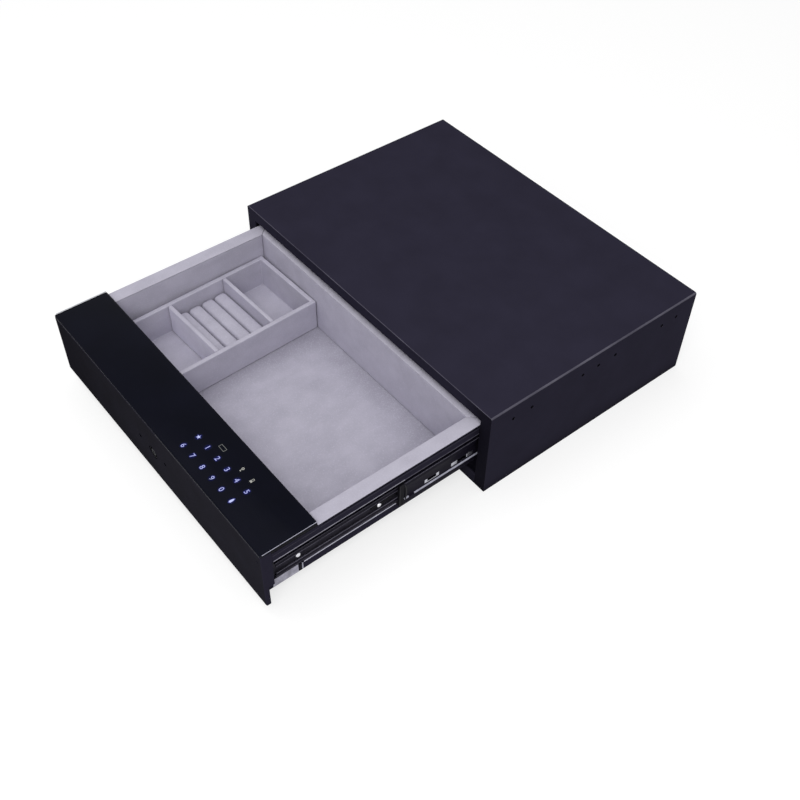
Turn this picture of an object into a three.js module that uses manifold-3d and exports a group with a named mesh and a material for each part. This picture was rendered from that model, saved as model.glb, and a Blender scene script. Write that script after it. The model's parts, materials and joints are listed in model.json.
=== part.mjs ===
// Under desk drawer safe, drawn with its drawer pulled out.
// Millimetres, +Z up, +Y towards the back. The origin is the middle of the housing's underside.
// The housing is a folded steel box, open at the front. The drawer runs in it on two
// three member ball slides, and carries a touch panel, a motor driven bolt bar, a key
// lock for emergencies, a felt lining and a loose tray with ring rolls.
// Inside a group, Y is counted back from that group's own front face.

import * as THREE from 'three';
import { mergeVertices } from 'three/addons/utils/BufferGeometryUtils.js';
import Module from 'manifold-3d';

const wasm = await Module();
wasm.setup();

// Clearances and cuts
const fitGap = 0.3;
const cutOverrun = 5;

// Grid lines in one millimetre
const gridSteps = 1024;

// Housing
const housingWidth = 480;
const housingDepth = 337;
const housingHeight = 126.5;
const housingSheet = 2;
const housingBend = 2.6;
const sideLipWidth = 16.4;
const topLipHeight = 16;
const bottomLipHeight = 16;
const baseFlangeHeight = 8;
const backFlangeDepth = 10;
const anchorHoleDiameter = 9;
const anchorInset = 70;
const sideHoleDrop = 22;
const sideHoleDiameter = 4.6;
const sideHoleDepthShares = [0.103, 0.187, 0.428, 0.505, 0.589, 0.83, 0.907];

// Drawer front
const drawerPulledOut = 290;
const frontClearance = 1.5;
const panelClearance = 2.9;
const fasciaSheet = 2;
const fasciaReturnDepth = 13;
const fasciaSlimDepth = 6;
const fasciaStepHeight = 48;
const glassThickness = 3;
const glassDepth = 70;
const panelFrameThickness = 3.6;
const cornerMarkDiameter = 3;
const cornerMarkInset = 7.5;
const cornerMarkDrop = 14.3;

// Drawer pan and its lining
const panSheet = 1.2;
const floorSheet = 1;
const floorUnderside = 21.6;
const floorFlangeShare = 0.791;
const floorFlangeThickness = 2;
const rimDrop = 14.4;
const hemHeight = 3.4;
const hemThickness = 2.4;
const rearRimDepth = 18;
const panRearPlace = 290.7;
const bulkheadPlace = 63.4;
const liningThickness = 2.2;
const floorFeltThickness = 1;
const rimFeltThickness = 1.5;

// Ball slides
const slideInset = 3.5;
const slideThickness = 12.7;
const slideLength = 300;
const slideSetback = 18;
const slideAxisShare = 0.52;
const slideSheet = 1.2;
const cabinetMemberHeight = 45.7;
const cabinetMemberDepth = 10;
const middleMemberHeight = 36.4;
const middleMemberDepth = 8.4;
const middleMemberLength = 290;
const middlePulledOut = 102;
const middleRaceHeight = 6.7;
const middleRaceStep = 1.5;
const drawerMemberHeight = 24.4;
const drawerMemberDepth = 6;
const drawerMemberLength = 296;
const drawerMemberPlace = 20;
const cageSheet = 0.6;
const outerCageLength = 90;
const outerCagePlace = 60;
const innerCageLength = 80;
const innerCagePlace = -85;
const ballsPerRow = 5;
const ballPlay = 0.15;
const middleSlotHeight = 5.5;
const middleSlotDrop = 4.6;
const middleSlotPlaces = [30.5, 69.5];
const middleSlotLengths = [21, 32];
const bumperLength = 6.5;
const bumperPlugLength = 12;
const bracketSheet = 1.8;
const bracketHeight = 50;
const bracketFootHeight = 6;

// Fasteners of the slides
const rivetDiameter = 4;
const rivetHeadDiameter = 8;
const rivetHeadHeight = 1.8;
const rivetPlaceShares = [0.1, 0.5, 0.9];
const slideScrewDiameter = 4;
const slideScrewHeadDiameter = 7;
const slideScrewHeadHeight = 1.8;
const slideScrewPlaces = [49.5, 280];

// Release levers
const leverPivotPlace = 156.6;
const leverNose = 10.6;
const leverPostDiameter = 2.6;
const leverBossDiameter = 7;
const leverRootShare = 0.7;
const leverLength = 26.4;
const leverThickness = 3;
const leverTipHeight = 6;

// Lock: bolt bar, cam, motor and strike
const boltPlace = 31;
const boltSpacing = 240;
const boltDiameter = 9;
const boltTravel = 10;
const boltBarThickness = 4;
const boltBarHeight = 10;
const boltBarBottom = 36;
const boltBarOverhang = 12;
const bushFlangeDiameter = 18;
const bushFlangeThickness = 2.5;
const bushSpigotDiameter = 12;
const camAxisX = 20;
const camAxisHeight = 60;
const camDiameter = 22;
const camThickness = 3;
const camPinDiameter = 4;
const camPinPlay = 0.4;
const camTurn = Math.PI / 2;
const gearboxWidth = 26;
const gearboxDepth = 14;
const motorDiameter = 20;
const strikeSheet = 2;
const strikeTop = 19;
const strikeOverhang = 30;
const strikeFootDepth = 24;

// Key lock
const keyX = -1;
const keyDrop = 2.9;
const keyHeadDiameter = 17;
const keyHeadRecess = 0.6;
const keyBarrelDiameter = 15;
const keyBarrelLength = 20;
const keyPlugDiameter = 9;
const keySlotWidth = 2.2;
const keySlotHeight = 6;
const keySlotDepth = 5;
const keyTailLength = 22;
const keyTailWidth = 12;
const keyTailThickness = 2;
const keyNutAcross = 20;
const keyNutThickness = 4;
const contactDiameter = 5;
const contactFlangeDiameter = 8;
const contactFlangeThickness = 2;
const contactRise = 4.5;
const contactOffset = 27.4;
const contactLength = 8;

// Electronics
const boardThickness = 1.6;
const touchBoardWidth = 135;
const touchBoardInset = 57.1;
const touchBoardMargin = 1.5;
const controlBoardInset = 96;
const controlBoardWidth = 96;
const controlBoardHeight = 44;
const standoffDiameter = 6;
const standoffLength = 4;
const chipHeight = 2.4;
const chipWidth = 14;
const relayHeight = 10;
const relayWidth = 18;
const batteryInset = 73;
const cellColumns = 2;
const cellRows = 2;
const cellDiameter = 14;
const cellLength = 50;
const cellNubDiameter = 5;
const cellNubLength = 1;
const holderWall = 2;
const cellSpringRoom = 3;
const coverLap = 2;
const coverGripWidth = 28;
const coverGripHeight = 3;
const coverGripDepth = 0.8;

// Buffers at the back of the housing
const bufferDiameter = 14;
const bufferLength = 24;
const bufferInset = 42;

// Tray and ring rolls
const trayWidth = 119;
const trayLength = 212;
const trayWall = 6;
const trayBase = 2;
const trayTop = 69;
const trayTurnDegrees = 2;
const traySideGap = 4.1;
const trayFrontGap = 5.45;
const dividerThickness = 5.2;
const ringBayLength = 77.5;
const rollCount = 4;
const rollHeight = 25;
const rollEndGap = 2;
const rollSideGap = 0.5;
const padBaseThickness = 4;
const rollEndShare = 0.6;
const rollStations = 12;
const rollSides = 14;
const rollSpreadPower = 0.6;
const rollEndPower = 6;
const rollCrownPower = 0.35;
const rollCornerPower = 0.6;

// Places worked out from the sizes above
const halfWidth = housingWidth / 2;
const openingHalf = halfWidth - sideLipWidth;
const openingTop = housingHeight - topLipHeight;
const frontHalf = openingHalf - frontClearance;
const frontBottom = bottomLipHeight + frontClearance;
const frontTop = openingTop - panelClearance;
const glassBottom = frontTop - glassThickness;
const fasciaTop = glassBottom - fitGap;
const panelFrameBottom = fasciaTop - panelFrameThickness;
const rimTop = panelFrameBottom - fitGap;
const slideOuterX = openingHalf - slideInset;
const panHalf = slideOuterX - slideThickness;
const panInnerHalf = panHalf - panSheet;
const liningHalf = panInnerHalf - fitGap;
const feltHalf = liningHalf - liningThickness;
const floorTop = floorUnderside + floorSheet;
const feltFloorTop = floorTop + fitGap + floorFeltThickness;
const panFront = fasciaSheet + fitGap;
const panRearInner = panRearPlace - panSheet;
const rimRear = panRearPlace - panSheet + rearRimDepth;
const rimFront = fasciaReturnDepth + fitGap;
const bulkheadBack = bulkheadPlace + panSheet;
const feltFrontPlace = bulkheadBack + fitGap + liningThickness;
const feltRearPlace = panRearInner - fitGap - liningThickness;
const sideHoleHeight = housingHeight - sideHoleDrop;
const cornerMarkHeight = fasciaTop - cornerMarkDrop;
const flangeBottom = rimTop - rimDrop;
const slideAxisHeight = floorUnderside + slideAxisShare * (flangeBottom - floorUnderside);
const floorFlangeRise = slideAxisHeight - middleMemberHeight / 2 - floorTop;
const floorFlangeTop = floorTop + floorFlangeShare * floorFlangeRise;
const bufferX = frontHalf - bufferInset;
const boltBarWidth = boltSpacing + 2 * boltBarOverhang;
const strikeWidth = boltSpacing + 2 * strikeOverhang;
const keyHeight = (frontBottom + fasciaTop) / 2 - keyDrop;
const touchBoardRight = frontHalf - touchBoardInset;
const touchBoardLeft = touchBoardRight - touchBoardWidth;
const compartmentMiddle = (floorTop + rimTop) / 2;
const controlBoardX = controlBoardInset - panInnerHalf;
const batteryX = panInnerHalf - batteryInset;
const trayCentreX = traySideGap + trayWidth / 2 - feltHalf;
const trayCentrePlace = feltFrontPlace + trayFrontGap + trayLength / 2;
const camPinRadius = boltTravel / (2 * Math.sin(camTurn / 2));
const camPinRise = camPinRadius * Math.sin(camTurn / 2);
const camPinReach = camPinRadius * Math.cos(camTurn / 2);
const boltBarFront = boltPlace - boltBarThickness / 2;
const boltBarBack = boltPlace + boltBarThickness / 2;

const roundSteps = 20;
const smallRoundSteps = 12;
const ballSteps = 6;

// Shapes

// Corners snap to a fine grid, so that faces meant to be level with each other are level
function solidOf(geometry) {
  const bare = geometry.clone();
  bare.deleteAttribute('normal');
  bare.deleteAttribute('uv');
  const snapped = bare.attributes.position.array.map((value) => Math.round(value * gridSteps) / gridSteps);
  bare.setAttribute('position', new THREE.BufferAttribute(snapped, 3));
  const merged = mergeVertices(bare);
  const vertProperties = new Float32Array(merged.attributes.position.array);
  const triVerts = new Uint32Array(merged.index.array);
  return new wasm.Manifold(new wasm.Mesh({ numProp: 3, vertProperties, triVerts }));
}

function box(x0, x1, y0, y1, z0, z1) {
  const geometry = new THREE.BoxGeometry(Math.abs(x1 - x0), Math.abs(y1 - y0), Math.abs(z1 - z0));
  geometry.translate((x0 + x1) / 2, (y0 + y1) / 2, (z0 + z1) / 2);
  return solidOf(geometry);
}

// Turns a shape drawn in two axes, and its depth, into the part's axes
const planes = {
  xz: new THREE.Matrix4().makeBasis(
    new THREE.Vector3(1, 0, 0), new THREE.Vector3(0, 0, 1), new THREE.Vector3(0, -1, 0)),
  yz: new THREE.Matrix4().makeBasis(
    new THREE.Vector3(0, 1, 0), new THREE.Vector3(0, 0, 1), new THREE.Vector3(1, 0, 0)),
  xy: new THREE.Matrix4(),
};

function prism(shape, plane, from, to) {
  const outline = Array.isArray(shape) ? new THREE.Shape(shape.map((p) => new THREE.Vector2(...p))) : shape;
  const low = Math.min(from, to);
  const high = Math.max(from, to);
  const geometry = new THREE.ExtrudeGeometry(outline, {
    depth: high - low, bevelEnabled: false, curveSegments: smallRoundSteps });
  geometry.applyMatrix4(planes[plane]);
  const shift = { xz: [0, high, 0], yz: [low, 0, 0], xy: [0, 0, low] }[plane];
  geometry.translate(...shift);
  return solidOf(geometry);
}

function rod(axis, centre, diameter, from, to, steps = smallRoundSteps) {
  const geometry = new THREE.CylinderGeometry(diameter / 2, diameter / 2, Math.abs(to - from), steps);
  const middle = (from + to) / 2;
  if (axis === 'x') {
    geometry.rotateZ(Math.PI / 2);
    geometry.translate(middle, centre[0], centre[1]);
  }
  if (axis === 'y') {
    geometry.translate(centre[0], middle, centre[1]);
  }
  if (axis === 'z') {
    geometry.rotateX(Math.PI / 2);
    geometry.translate(centre[0], centre[1], middle);
  }
  return solidOf(geometry);
}

function join(pieces) {
  return pieces.reduce((whole, piece) => whole.add(piece));
}

function cut(body, tools) {
  return tools.reduce((left, tool) => left.subtract(tool), body);
}

// U shaped ring, open at its front, lying flat between two heights
function ring(outerHalf, outerBack, innerHalf, innerBack, front, z0, z1) {
  const points = [
    [-outerHalf, front], [-outerHalf, outerBack], [outerHalf, outerBack], [outerHalf, front],
    [innerHalf, front], [innerHalf, innerBack], [-innerHalf, innerBack], [-innerHalf, front],
  ];
  return prism(points, 'xy', z0, z1);
}

// Channel section with its back at one X and its flange edges at the other
function channel(backX, edgeX, height, sheet, from, to) {
  const inner = backX + Math.sign(edgeX - backX) * sheet;
  const half = height / 2;
  const points = [
    [backX, -half], [edgeX, -half], [edgeX, -half + sheet], [inner, -half + sheet],
    [inner, half - sheet], [edgeX, half - sheet], [edgeX, half], [backX, half],
  ];
  return prism(points, 'xz', from, to).translate([0, 0, slideAxisHeight]);
}

function meshOf(name, solid, material) {
  const mesh = solid.getMesh();
  const geometry = new THREE.BufferGeometry();
  geometry.setAttribute('position', new THREE.BufferAttribute(new Float32Array(mesh.vertProperties), 3));
  geometry.setIndex(new THREE.BufferAttribute(new Uint32Array(mesh.triVerts), 1));
  geometry.computeVertexNormals();
  const result = new THREE.Mesh(geometry, material);
  result.name = name;
  return result;
}

function finish(color, roughness, metalness) {
  return new THREE.MeshStandardMaterial({ color, roughness, metalness });
}

const blackPaint = finish(0x24222c, 0.5, 0.3);
const blackSteel = finish(0x1a1a20, 0.4, 0.7);
const zincSteel = finish(0xc4c6cc, 0.35, 0.9);
const brightSteel = finish(0xd8dadf, 0.25, 1);
const blackGlass = finish(0x0c0e14, 0.08, 0);
const blackPlastic = finish(0x17171b, 0.55, 0);
const rubber = finish(0x141416, 0.85, 0);
const felt = finish(0xa9a6b4, 0.95, 0);
const circuitGreen = finish(0x1e4a34, 0.5, 0.1);
const cellWrap = finish(0x3a3d48, 0.35, 0.2);

// Housing pieces

function housingShell() {
  const outline = new THREE.Shape();
  const bendCentre = halfWidth - housingBend;
  const bendHeight = housingHeight - housingBend;
  outline.moveTo(-halfWidth, 0);
  outline.lineTo(halfWidth, 0);
  outline.lineTo(halfWidth, bendHeight);
  outline.absarc(bendCentre, bendHeight, housingBend, 0, Math.PI / 2, false);
  outline.lineTo(-bendCentre, housingHeight);
  outline.absarc(-bendCentre, bendHeight, housingBend, Math.PI / 2, Math.PI, false);
  const block = prism(outline, 'xz', 0, housingDepth);
  const innerHalf = halfWidth - housingSheet;
  const cavity = box(-innerHalf, innerHalf, housingSheet, housingDepth + cutOverrun,
    -cutOverrun, housingHeight - housingSheet);
  const opening = box(-openingHalf, openingHalf, -cutOverrun, housingSheet + cutOverrun,
    -cutOverrun, openingTop);
  const holes = sideHoleDepthShares.map((share) => rod('x', [share * housingDepth, sideHoleHeight],
    sideHoleDiameter, -halfWidth - cutOverrun, halfWidth + cutOverrun));
  return cut(block, [cavity, opening, ...holes]);
}

function anchorHoles(axis, low, high, from, to) {
  const reach = halfWidth - anchorInset;
  return [-reach, reach].flatMap((x) => [low, high].map((other) => rod(axis, [x, other],
    anchorHoleDiameter, from, to)));
}

function housingBase() {
  const outerHalf = halfWidth - housingSheet - fitGap;
  const lipHalf = openingHalf - fitGap;
  const innerHalf = outerHalf - housingSheet;
  const lipBack = housingSheet + fitGap;
  const block = box(-outerHalf, outerHalf, 0, housingDepth, 0, bottomLipHeight);
  const cavity = box(-innerHalf, innerHalf, housingSheet, housingDepth + cutOverrun,
    housingSheet, bottomLipHeight + cutOverrun);
  const flangeTrim = box(-outerHalf - cutOverrun, outerHalf + cutOverrun, lipBack,
    housingDepth + cutOverrun, baseFlangeHeight, bottomLipHeight + cutOverrun);
  const rearTrim = box(-outerHalf - cutOverrun, outerHalf + cutOverrun,
    housingDepth - housingSheet - backFlangeDepth - fitGap, housingDepth + cutOverrun,
    housingSheet, bottomLipHeight + cutOverrun);
  const corners = [-1, 1].map((side) => box(side * lipHalf, side * (outerHalf + cutOverrun),
    -cutOverrun, lipBack, -cutOverrun, bottomLipHeight + cutOverrun));
  const holes = anchorHoles('z', anchorInset, housingDepth - anchorInset, -cutOverrun,
    housingSheet + cutOverrun);
  return cut(block, [cavity, flangeTrim, rearTrim, ...corners, ...holes]);
}

function housingBack() {
  const outerHalf = halfWidth - housingSheet - fitGap;
  const low = housingSheet + fitGap;
  const high = housingHeight - housingSheet - fitGap;
  const front = housingDepth - housingSheet - backFlangeDepth;
  const block = box(-outerHalf, outerHalf, front, housingDepth, low, high);
  const cavity = box(-outerHalf + housingSheet, outerHalf - housingSheet, front - cutOverrun,
    housingDepth - housingSheet, low + housingSheet, high - housingSheet);
  const middle = (low + high) / 2;
  const holes = anchorHoles('y', middle, middle, front - cutOverrun, housingDepth + cutOverrun);
  return cut(block, [cavity, ...holes]);
}

function rivetPlaces() {
  return rivetPlaceShares.map((share) => slideSetback + share * slideLength);
}

function slideBracket(side) {
  const outer = halfWidth - housingSheet - fitGap;
  const web = slideOuterX + fitGap;
  const half = bracketHeight / 2;
  const foot = half + bracketFootHeight;
  const toe = slideAxisHeight - baseFlangeHeight - fitGap;
  const points = [
    [outer, foot], [outer - bracketSheet, foot], [outer - bracketSheet, half], [web, half],
    [web, -half], [outer - bracketSheet, -half], [outer - bracketSheet, -toe], [outer, -toe],
    [outer, -half + bracketSheet], [web + bracketSheet, -half + bracketSheet],
    [web + bracketSheet, half - bracketSheet], [outer, half - bracketSheet],
  ];
  const profile = prism(points.map(([x, z]) => [side * x, z]), 'xz', slideSetback,
    slideSetback + slideLength).translate([0, 0, slideAxisHeight]);
  const holes = rivetPlaces().map((y) => rod('x', [y, slideAxisHeight],
    rivetDiameter + 2 * fitGap, side * (web - cutOverrun), side * (web + bracketSheet + cutOverrun)));
  return cut(profile, holes);
}

// The rivets are drawn out of the member and headed over inside the bracket
function cabinetMember(side) {
  const profile = channel(side * slideOuterX, side * (slideOuterX - cabinetMemberDepth),
    cabinetMemberHeight, slideSheet, slideSetback, slideSetback + slideLength);
  const root = slideOuterX - slideSheet / 2;
  const headFoot = slideOuterX + fitGap + bracketSheet + fitGap;
  const rivets = rivetPlaces().flatMap((y) => [
    rod('x', [y, slideAxisHeight], rivetDiameter, side * root, side * (headFoot + rivetHeadHeight / 2)),
    rod('x', [y, slideAxisHeight], rivetHeadDiameter, side * headFoot, side * (headFoot + rivetHeadHeight)),
  ]);
  return join([profile, ...rivets]);
}

function strikePlate() {
  const back = boltPlace - boltDiameter / 2 - 2 * fitGap;
  const front = back - strikeSheet;
  const low = housingSheet + fitGap;
  return join([
    box(-strikeWidth / 2, strikeWidth / 2, front, back, low, strikeTop),
    box(-strikeWidth / 2, strikeWidth / 2, front, front + strikeFootDepth, low, low + strikeSheet),
  ]);
}

function rearBuffer(side) {
  const back = housingDepth - housingSheet - fitGap;
  return rod('y', [side * bufferX, rimTop - 2 * hemHeight], bufferDiameter, back - bufferLength, back);
}

// Slide pieces that travel

const middleBackX = slideOuterX - slideSheet - fitGap - cageSheet - fitGap;
const middleWebX = middleBackX - middleRaceStep;
const middleHalf = middleMemberHeight / 2;
const innerCageBackX = middleWebX - slideSheet - fitGap;
const drawerMemberBackX = panHalf + fitGap;
const drawerMemberEdgeX = drawerMemberBackX + drawerMemberDepth;
const outerRowRise = (middleHalf + cabinetMemberHeight / 2 - slideSheet) / 2;
const innerRowRise = (middleHalf - slideSheet + drawerMemberHeight / 2) / 2;
const outerBallDiameter = cabinetMemberHeight / 2 - slideSheet - middleHalf - 2 * ballPlay;
const innerBallDiameter = middleHalf - slideSheet - drawerMemberHeight / 2 - 2 * ballPlay;

// Races at the top and bottom stand out from the flat middle of this member
function middleMember(side) {
  const edge = middleBackX - middleMemberDepth;
  const race = middleHalf - middleRaceHeight;
  const flat = race - middleRaceStep;
  const outside = [
    [edge, middleHalf], [middleBackX, middleHalf], [middleBackX, race], [middleWebX, flat],
  ];
  const inside = [
    [middleWebX - slideSheet, flat + slideSheet / 2], [middleBackX - slideSheet, race + slideSheet / 2],
    [middleBackX - slideSheet, middleHalf - slideSheet], [edge, middleHalf - slideSheet],
  ];
  const below = (points) => points.map(([x, z]) => [x, -z]).reverse();
  const loop = [...outside, ...below(outside), ...below(inside), ...inside];
  const profile = prism(loop.map(([x, z]) => [side * x, z]), 'xz', 0, middleMemberLength)
    .translate([0, 0, slideAxisHeight]);
  const slotMiddle = slideAxisHeight - middleSlotDrop;
  const slots = middleSlotPlaces.map((y, i) => box(side * (middleWebX - cutOverrun),
    side * (middleWebX + cutOverrun), y, y + middleSlotLengths[i],
    slotMiddle - middleSlotHeight / 2, slotMiddle + middleSlotHeight / 2));
  return cut(profile, slots);
}

// Plastic collar on the front end, with two plugs that grip inside the races
function middleBumper(side) {
  const edge = middleBackX - middleMemberDepth;
  const passHalf = drawerMemberHeight / 2 + 2 * fitGap;
  const passX = drawerMemberEdgeX + 2 * fitGap;
  const front = -bumperLength - fitGap;
  const collar = box(side * edge, side * middleBackX, front, -fitGap, -middleHalf, middleHalf);
  const pass = box(side * (edge - cutOverrun), side * passX, front - cutOverrun, cutOverrun,
    -passHalf, passHalf);
  const plugTop = middleHalf - slideSheet - fitGap;
  const plugs = [-1, 1].map((end) => box(side * (edge + fitGap),
    side * (middleBackX - slideSheet - fitGap), -bumperLength, bumperPlugLength,
    end * (passHalf + fitGap), end * plugTop));
  return join([cut(collar, [pass]), ...plugs]).translate([0, 0, slideAxisHeight]);
}

function rowPlaces(length) {
  const pitch = length / ballsPerRow;
  return Array.from({ length: ballsPerRow }, (_, i) => (i + 0.5) * pitch);
}

function cageRowX(backX, edgeX) {
  return (backX - cageSheet + edgeX) / 2;
}

// A sheet retainer with its balls pressed into it
function ballCage(side, backX, edgeX, rise, ball, length) {
  const profile = channel(side * backX, side * edgeX, 2 * rise + cageSheet, cageSheet, 0, length);
  const x = side * cageRowX(backX, edgeX);
  const balls = rowPlaces(length).flatMap((y) => [-1, 1].map((end) => {
    const sphere = new THREE.SphereGeometry(ball / 2, ballSteps, ballSteps - 2);
    sphere.translate(x, y, slideAxisHeight + end * rise);
    return solidOf(sphere);
  }));
  return join([profile, ...balls]);
}

const outerCageBackX = slideOuterX - slideSheet - fitGap;
const outerCageEdgeX = slideOuterX - cabinetMemberDepth + cageSheet;
const innerCageEdgeX = drawerMemberBackX + fitGap;
const outerRow = [outerCageBackX, outerCageEdgeX, outerRowRise, outerBallDiameter, outerCageLength];
const innerRow = [innerCageBackX, innerCageEdgeX, innerRowRise, innerBallDiameter, innerCageLength];

// Drawer pieces

function drawerMember(side) {
  const profile = channel(side * drawerMemberBackX, side * drawerMemberEdgeX, drawerMemberHeight,
    slideSheet, drawerMemberPlace, drawerMemberPlace + drawerMemberLength);
  const holes = slideScrewPlaces.map((y) => rod('x', [y, slideAxisHeight], slideScrewDiameter + 2 * fitGap,
    side * (drawerMemberBackX - cutOverrun), side * (drawerMemberBackX + slideSheet + cutOverrun / 2)));
  const postTop = drawerMemberBackX + slideSheet + fitGap + leverThickness;
  const post = rod('x', [leverPivotPlace, slideAxisHeight], leverPostDiameter,
    side * (drawerMemberBackX + slideSheet / 2), side * postTop);
  return join([cut(profile, holes), post]);
}

function slideScrew(side, y) {
  const head = drawerMemberBackX + slideSheet + fitGap;
  const shank = rod('x', [y, slideAxisHeight], slideScrewDiameter, side * panInnerHalf,
    side * (head + slideScrewHeadHeight / 2));
  const cap = rod('x', [y, slideAxisHeight], slideScrewHeadDiameter, side * head,
    side * (head + slideScrewHeadHeight));
  return join([shank, cap]);
}

// Plastic lever that frees the drawer from its slides, pivoting on the drawer member's post
function releaseLever(side) {
  const low = drawerMemberBackX + slideSheet + fitGap;
  const half = leverBossDiameter * leverRootShare / 2;
  const end = leverPivotPlace + leverLength;
  const nose = leverPivotPlace - leverNose;
  const arm = [
    [leverPivotPlace, half], [nose, leverTipHeight / 4], [nose, -leverTipHeight / 4],
    [leverPivotPlace, -half],
    [end - leverTipHeight, -leverTipHeight / 4], [end, -leverTipHeight / 2],
    [end, leverTipHeight / 2], [end - leverTipHeight, leverTipHeight / 4],
  ];
  const plate = prism(arm, 'yz', side * low, side * (low + leverThickness))
    .translate([0, 0, slideAxisHeight]);
  const boss = rod('x', [leverPivotPlace, slideAxisHeight], leverBossDiameter, side * low,
    side * (low + leverThickness));
  const bore = rod('x', [leverPivotPlace, slideAxisHeight], leverPostDiameter + 2 * fitGap,
    side * (low - cutOverrun), side * (low + leverThickness + cutOverrun));
  return cut(join([plate, boss]), [bore]);
}

function frontHoles(extra, from, to) {
  const contactHeight = keyHeight + contactRise;
  return [-1, 1].map((side) => rod('y', [keyX + side * contactOffset, contactHeight],
    contactDiameter + 2 * extra, from, to));
}

// Cut from a block: the bowl, the slots behind the turned down rim, and all that lies
// outside the walls in front of the rim and under it
function drawerPan() {
  const low = floorTop + fitGap;
  const under = low - cutOverrun;
  const webBottom = rimTop - panSheet;
  const flangeInner = frontHalf - panSheet;
  const hemInner = frontHalf - hemThickness;
  const block = box(-frontHalf, frontHalf, panFront, rimRear, low, rimTop);
  const bowl = box(-panInnerHalf, panInnerHalf, panFront + panSheet, panRearInner, under,
    rimTop + cutOverrun);
  const before = panFront - cutOverrun;
  const outsides = [
    ring(hemInner, rimRear - hemThickness, panHalf, panRearPlace, before, under, webBottom),
    ring(flangeInner, rimRear - panSheet, panHalf, panRearPlace, before, flangeBottom + hemHeight,
      webBottom),
    ring(frontHalf + cutOverrun, rimRear + cutOverrun, panHalf, panRearPlace, before, under,
      flangeBottom),
  ];
  const corners = [-1, 1].map((side) => box(side * panHalf, side * (frontHalf + cutOverrun), before,
    rimFront, under, rimTop + cutOverrun));
  const through = panFront + panSheet + cutOverrun / 2;
  const screwHoles = [-1, 1].flatMap((side) => slideScrewPlaces.map((y) => rod('x',
    [y, slideAxisHeight], slideScrewDiameter + 2 * fitGap, side * (panInnerHalf - cutOverrun),
    side * (panHalf + cutOverrun / 2))));
  const keyHole = rod('y', [keyX, keyHeight], keyBarrelDiameter + 2 * fitGap, 0, through, roundSteps);
  return cut(block, [bowl, ...outsides, ...corners, ...screwHoles, keyHole,
    ...frontHoles(fitGap, 0, through)]);
}

function boltXs() {
  return [-boltSpacing / 2, boltSpacing / 2];
}

function drawerFloor() {
  const inner = panHalf + fitGap;
  const outer = inner + floorFlangeThickness;
  const front = fasciaSlimDepth + fitGap;
  const rear = panRearPlace + fitGap;
  const block = box(-outer, outer, front, rear + floorFlangeThickness, floorUnderside, floorFlangeTop);
  const cavity = box(-inner, inner, front - cutOverrun, rear, floorTop, floorFlangeTop + cutOverrun);
  const holes = boltXs().map((x) => rod('z', [x, boltPlace], bushSpigotDiameter + 2 * fitGap,
    floorUnderside - cutOverrun, floorTop + cutOverrun, roundSteps));
  return cut(block, [cavity, ...holes]);
}

function windowBox(extra, from, to) {
  const half = cellColumns * (cellLength + cellNubLength + fitGap) / 2 + cellSpringRoom + extra;
  const rise = cellRows * (cellDiameter + fitGap) / 2 + extra;
  return box(batteryX - half, batteryX + half, from, to, compartmentMiddle - rise,
    compartmentMiddle + rise);
}

function bulkhead() {
  const plate = box(-liningHalf, liningHalf, bulkheadPlace, bulkheadBack, floorTop + fitGap,
    rimTop - fitGap);
  return cut(plate, [windowBox(0, bulkheadPlace - cutOverrun, bulkheadBack + cutOverrun)]);
}

function fascia() {
  const inner = frontHalf - fasciaSheet;
  const block = box(-frontHalf, frontHalf, 0, fasciaReturnDepth, frontBottom, fasciaTop);
  const cavity = box(-inner, inner, fasciaSheet, fasciaReturnDepth + cutOverrun,
    frontBottom + fasciaSheet, fasciaTop - fasciaSheet);
  const slim = box(-frontHalf - cutOverrun, frontHalf + cutOverrun, fasciaSlimDepth,
    fasciaReturnDepth + cutOverrun, frontBottom - cutOverrun, fasciaStepHeight);
  const through = fasciaSheet + cutOverrun / 2;
  const keyHole = rod('y', [keyX, keyHeight], keyHeadDiameter + 2 * fitGap, -cutOverrun, through,
    roundSteps);
  const marks = [-1, 1].map((side) => rod('y', [side * (frontHalf - cornerMarkInset),
    cornerMarkHeight], cornerMarkDiameter, -cutOverrun, through));
  return cut(block, [cavity, slim, keyHole, ...marks, ...frontHoles(fitGap, -cutOverrun, through)]);
}

function hexNut(place, across, bore, from, thickness) {
  const hex = new THREE.CylinderGeometry(across / Math.sqrt(3), across / Math.sqrt(3), thickness, 6);
  hex.translate(place[0], from + thickness / 2, place[1]);
  const hole = rod('y', place, bore, from - cutOverrun, from + thickness + cutOverrun, roundSteps);
  return cut(solidOf(hex), [hole]);
}

function contactStud(side) {
  const place = [keyX + side * contactOffset, keyHeight + contactRise];
  const flangeFront = panFront + panSheet + fitGap;
  return join([
    rod('y', place, contactDiameter, fitGap, contactLength),
    rod('y', place, contactFlangeDiameter, flangeFront, flangeFront + contactFlangeThickness),
  ]);
}

function keyCylinder() {
  const head = rod('y', [keyX, keyHeight], keyHeadDiameter, keyHeadRecess, fasciaSheet, roundSteps);
  const headMiddle = (keyHeadRecess + fasciaSheet) / 2;
  const barrel = rod('y', [keyX, keyHeight], keyBarrelDiameter, headMiddle, keyBarrelLength, roundSteps);
  const bore = rod('y', [keyX, keyHeight], keyPlugDiameter + 2 * fitGap, -cutOverrun,
    keyBarrelLength + cutOverrun, roundSteps);
  return cut(join([head, barrel]), [bore]);
}

function keyPlug() {
  const back = keyBarrelLength + fitGap + keyTailThickness;
  const plug = rod('y', [0, 0], keyPlugDiameter, keyHeadRecess + fitGap, back, roundSteps);
  const slot = box(-keySlotWidth / 2, keySlotWidth / 2, 0, keyHeadRecess + keySlotDepth,
    -keySlotHeight / 2, keySlotHeight / 2);
  const tail = box(-keyTailWidth / 2, keyTailWidth / 2, back - keyTailThickness, back,
    -keyTailLength, keyTailWidth / 2);
  return join([cut(plug, [slot]), tail]);
}

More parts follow.
